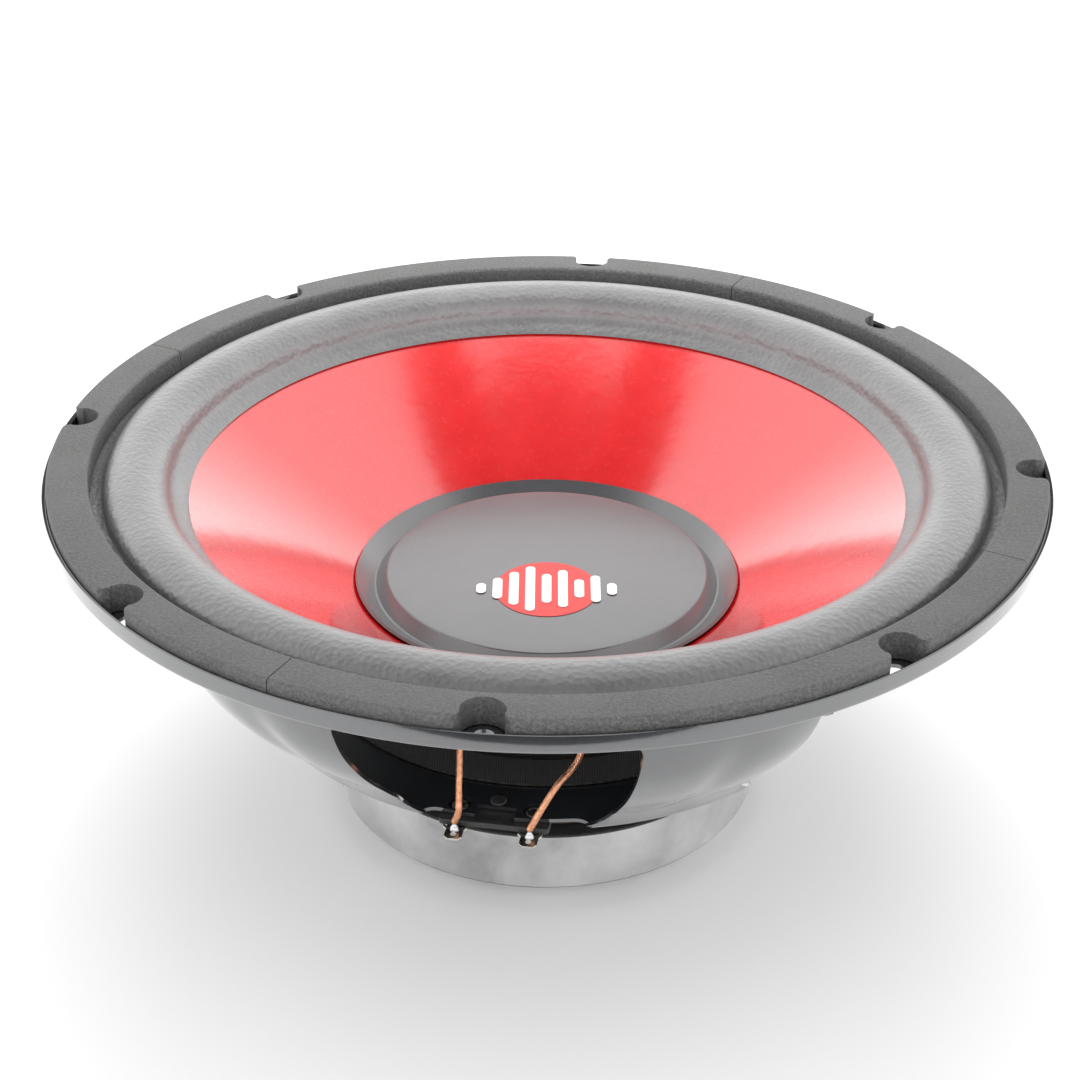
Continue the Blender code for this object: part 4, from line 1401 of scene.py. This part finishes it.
def makeSolder(name, side, node):
    t = terminals
    low = tabFoot + t["tabThick"] + gap
    r = t["solder"]
    outline = [(0, low), (r, low)]
    for k in range(1, 8):
        outline.append((r * (0.96 - 0.62 * smoothStep(k / 7)), low + 0.0002 + 0.0020 * k / 7))
    outline.append((0, low + 0.0022))
    piece = turnOutline(name, outline, 32)
    piece.location = onBoard(side * t["pitch"] / 2, boardEdge + r + gap)
    applyPlace(piece)
    smoothPiece(piece, 60)
    wear(piece, paints["solder"], base, "solder", node)


leads = {
    "radius": 0.0010,
    "strands": 9,
    "strandRadius": 0.00030,
    "twist": 0.0085,
    "foot": 0.0022,
    "eyelet": 0.0026,
    "eyeletThick": 0.0009,
    "positive": [  # steps from the foot
        (0.0013, -0.0007, 0.0047), (0.0015, 0.0018, 0.0122),
        (0.0017, 0.0049, 0.0212), (0.0022, 0.0077, 0.0327),
    ],
    "negative": [
        (0.0026, 0.0006, 0.0052), (0.0078, 0.0028, 0.0136),
        (0.0140, 0.0074, 0.0198), (0.0170, 0.0116, 0.0292),
    ],
    "ends": {"positive": (0.0027, 0.0093), "negative": (0.0176, 0.0141)},
}


def leadFoot(side):
    t = terminals
    z = tabFoot + t["tabThick"] + leads["foot"] + 2 * gap
    return onBoard(side * t["pitch"] / 2, boardEdge + t["solder"] + gap, z)


def leadEnd(side, key):
    foot = leadFoot(side)
    dx, dy = leads["ends"][key]
    return foot.x + dx, foot.y + dy


def behindCone(x, y, depth):
    return Vector((x, y, coneTop(hypot(x, y)) - depth * hypot(1, cone["slope"])))


def makeLead(name, side, key, node):  # strands laid round the lead's own line
    d = leads
    foot = leadFoot(side)
    depth = cone["thick"] + d["eyeletThick"] + 2 * gap + d["radius"] * cone["slope"]
    x, y = leadEnd(side, key)
    steps = [foot + Vector(step) for step in d[key]]
    route = curveThrough([foot, *steps, behindCone(x, y, depth)], 18)
    length = sum((b - a).length for a, b in zip(route, route[1:]))
    strands = []
    for handed in (1, -1):
        for s in range(d["strands"]):
            curve = bpy.data.curves.new("strand", "CURVE")
            curve.dimensions = "3D"
            curve.bevel_depth = d["strandRadius"]
            curve.bevel_resolution = 1
            curve.use_fill_caps = True
            line = curve.splines.new("POLY")
            line.points.add(len(route) - 1)
            gone = 0.0
            for k, here in enumerate(route):
                ahead = (route[min(k + 1, len(route) - 1)] - route[max(k - 1, 0)]).normalized()
                side1 = ahead.cross(Vector((1, 0, 0))).normalized()
                side2 = ahead.cross(side1)
                angle = tau * s / d["strands"] + handed * tau * gone / d["twist"]
                weave = 1 + 0.10 * handed * sin(angle * d["strands"] / 2)
                reach = (d["radius"] - d["strandRadius"]) * weave
                spot = here + (side1 * cos(angle) + side2 * sin(angle)) * reach
                line.points[k].co = (*spot, 1)
                if k + 1 < len(route):
                    gone += (route[k + 1] - here).length
            strand = bpy.data.objects.new("strand", curve)
            bpy.context.scene.collection.objects.link(strand)
            strands.append(strand)
    clearSelection()
    for strand in strands:
        strand.select_set(True)
    bpy.context.view_layer.objects.active = strands[0]
    bpy.ops.object.convert(target="MESH")
    piece = joinPieces(strands)
    piece.name = name
    piece.data.name = name
    smoothPiece(piece, 60)
    wear(piece, paints["braid"], None, "braid_copper", node)
    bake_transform(piece)
    print(name, "length", round(length, 4))


def makeEyelet(name, side, key, node):  # a stamped eyelet bonded behind the cone
    x, y = leadEnd(side, key)
    r = leads["eyelet"]
    thick = leads["eyeletThick"]
    corners = [(0, -thick, 0), (r * 0.62, -thick, 0.0002), (r, -thick * 0.5, 0.0002), (r, 0, 0), (0, 0, 0)]
    outline = filletPath(corners, 3)
    piece = turnOutline(name, outline, 40)
    piece.rotation_euler = (0, -atan(cone["slope"]), atan2(y, x))
    piece.location = behindCone(x, y, cone["thick"] + gap)
    applyPlace(piece)
    smoothPiece(piece, 40)
    wear(piece, paints["glue"], moving, "tinned_metal", node)


def makeTerminals():
    t = terminals
    makeBoard()
    boardTop = boardFoot + t["boardThick"]
    for side, key in ((-1, "positive"), (1, "negative")):
        makeTab(f"tab_{key}", side, f"terminal_{key}")
        makeSmallRivet(
            f"tabRivet_{key}", side * t["pitch"] / 2, t["rivetOut"],
            tabFoot - gap, boardTop + gap, f"terminal_rivet_{key}",
        )
        makeSolder(f"solder_{key}_blob", side, f"solder_{key}")
        makeLead(f"braid_{key}", side, key, f"lead_{key}")
        makeEyelet(f"eyelet_{key}", side, key, f"lead_eyelet_{key}")
    low, high = boardFoot - gap, levels["shelf"] + sheet + gap
    # the board rivet is drawn dark, in the fibre board's paint, though it is metal
    makeSmallRivet("boardRivet", 0, boardRivetOut, low, high, "board_rivet", "fibre")


makeTerminals()
print("terminals and leads done")


# floor and light

studio = {
    "floor": (0.97, 0.97, 0.97),
    "floorSize": 14.0,
    "wall": 2.15,  # white walls, low down
    "ceiling": 1.05,
    "wallFoot": 0.22,  # sines of the heights between which wall turns to ceiling
    "wallTop": 0.60,
    "lamp": {  # soft, over the far rim, not seen by reflections
        "power": 1.3,
        "width": 0.5,
        "depth": 0.16,
        "place": (0, 0.20, 0.36),
    },
    "flagPaint": 0.012,
    "flags": {  # black cards that only reflections see: half size, place
        "floorFlag": ((3.0, 1.2), (0, -1.50, 0.002)),
        "overheadFlag": ((0.17, 0.43), (0, -0.33, 1.05)),
        "leftFlag": ((0.17, 0.49), (-0.34, -0.27, 1.05)),
        "rightFlag": ((0.17, 0.49), (0.34, -0.27, 1.05)),
    },
}


def makeFloor():
    clearSelection()
    bpy.ops.mesh.primitive_plane_add(size=studio["floorSize"], location=(0, 0, -0.0004))
    floor = bpy.context.object
    floor.name = "floor"
    floor.data.materials.append(newPaint("paleFloor", studio["floor"], 0.9))


def makeFlags():
    grey = studio["flagPaint"]
    paint = newPaint("flagCloth", (grey, grey, grey), 0.9)
    for name, (half, place) in studio["flags"].items():
        clearSelection()
        bpy.ops.mesh.primitive_plane_add(size=2, location=place)
        flag = bpy.context.object
        flag.name = name
        flag.scale = (*half, 1)
        applyPlace(flag)
        flag.data.materials.append(paint)
        for sight in ("visible_camera", "visible_diffuse", "visible_shadow", "visible_transmission"):
            setattr(flag, sight, False)


def makeLamp():
    lamp = studio["lamp"]
    clearSelection()
    bpy.ops.object.light_add(type="AREA", location=lamp["place"])
    light = bpy.context.object
    light.name = "rimLamp"
    light.data.shape = "RECTANGLE"
    light.data.size = lamp["width"]
    light.data.size_y = lamp["depth"]
    light.data.energy = lamp["power"]
    light.visible_camera = False
    light.visible_glossy = False


def makeSky():  # white walls all round, a softer ceiling
    world = bpy.data.worlds.new("studio")
    bpy.context.scene.world = world
    world.use_nodes = True
    tree = world.node_tree
    background = tree.nodes["Background"]
    background.inputs["Color"].default_value = (1, 1, 1, 1)
    coords = tree.nodes.new("ShaderNodeTexCoord")
    split = tree.nodes.new("ShaderNodeSeparateXYZ")
    ramp = tree.nodes.new("ShaderNodeMapRange")
    ramp.inputs["From Min"].default_value = studio["wallFoot"]
    ramp.inputs["From Max"].default_value = studio["wallTop"]
    ramp.inputs["To Min"].default_value = studio["wall"]
    ramp.inputs["To Max"].default_value = studio["ceiling"]
    tree.links.new(coords.outputs["Generated"], split.inputs["Vector"])
    tree.links.new(split.outputs["Z"], ramp.inputs["Value"])
    tree.links.new(ramp.outputs["Result"], background.inputs["Strength"])


makeFloor()
makeFlags()
makeLamp()
makeSky()
bpy.context.scene.view_settings.view_transform = "Standard"
print("studio set")
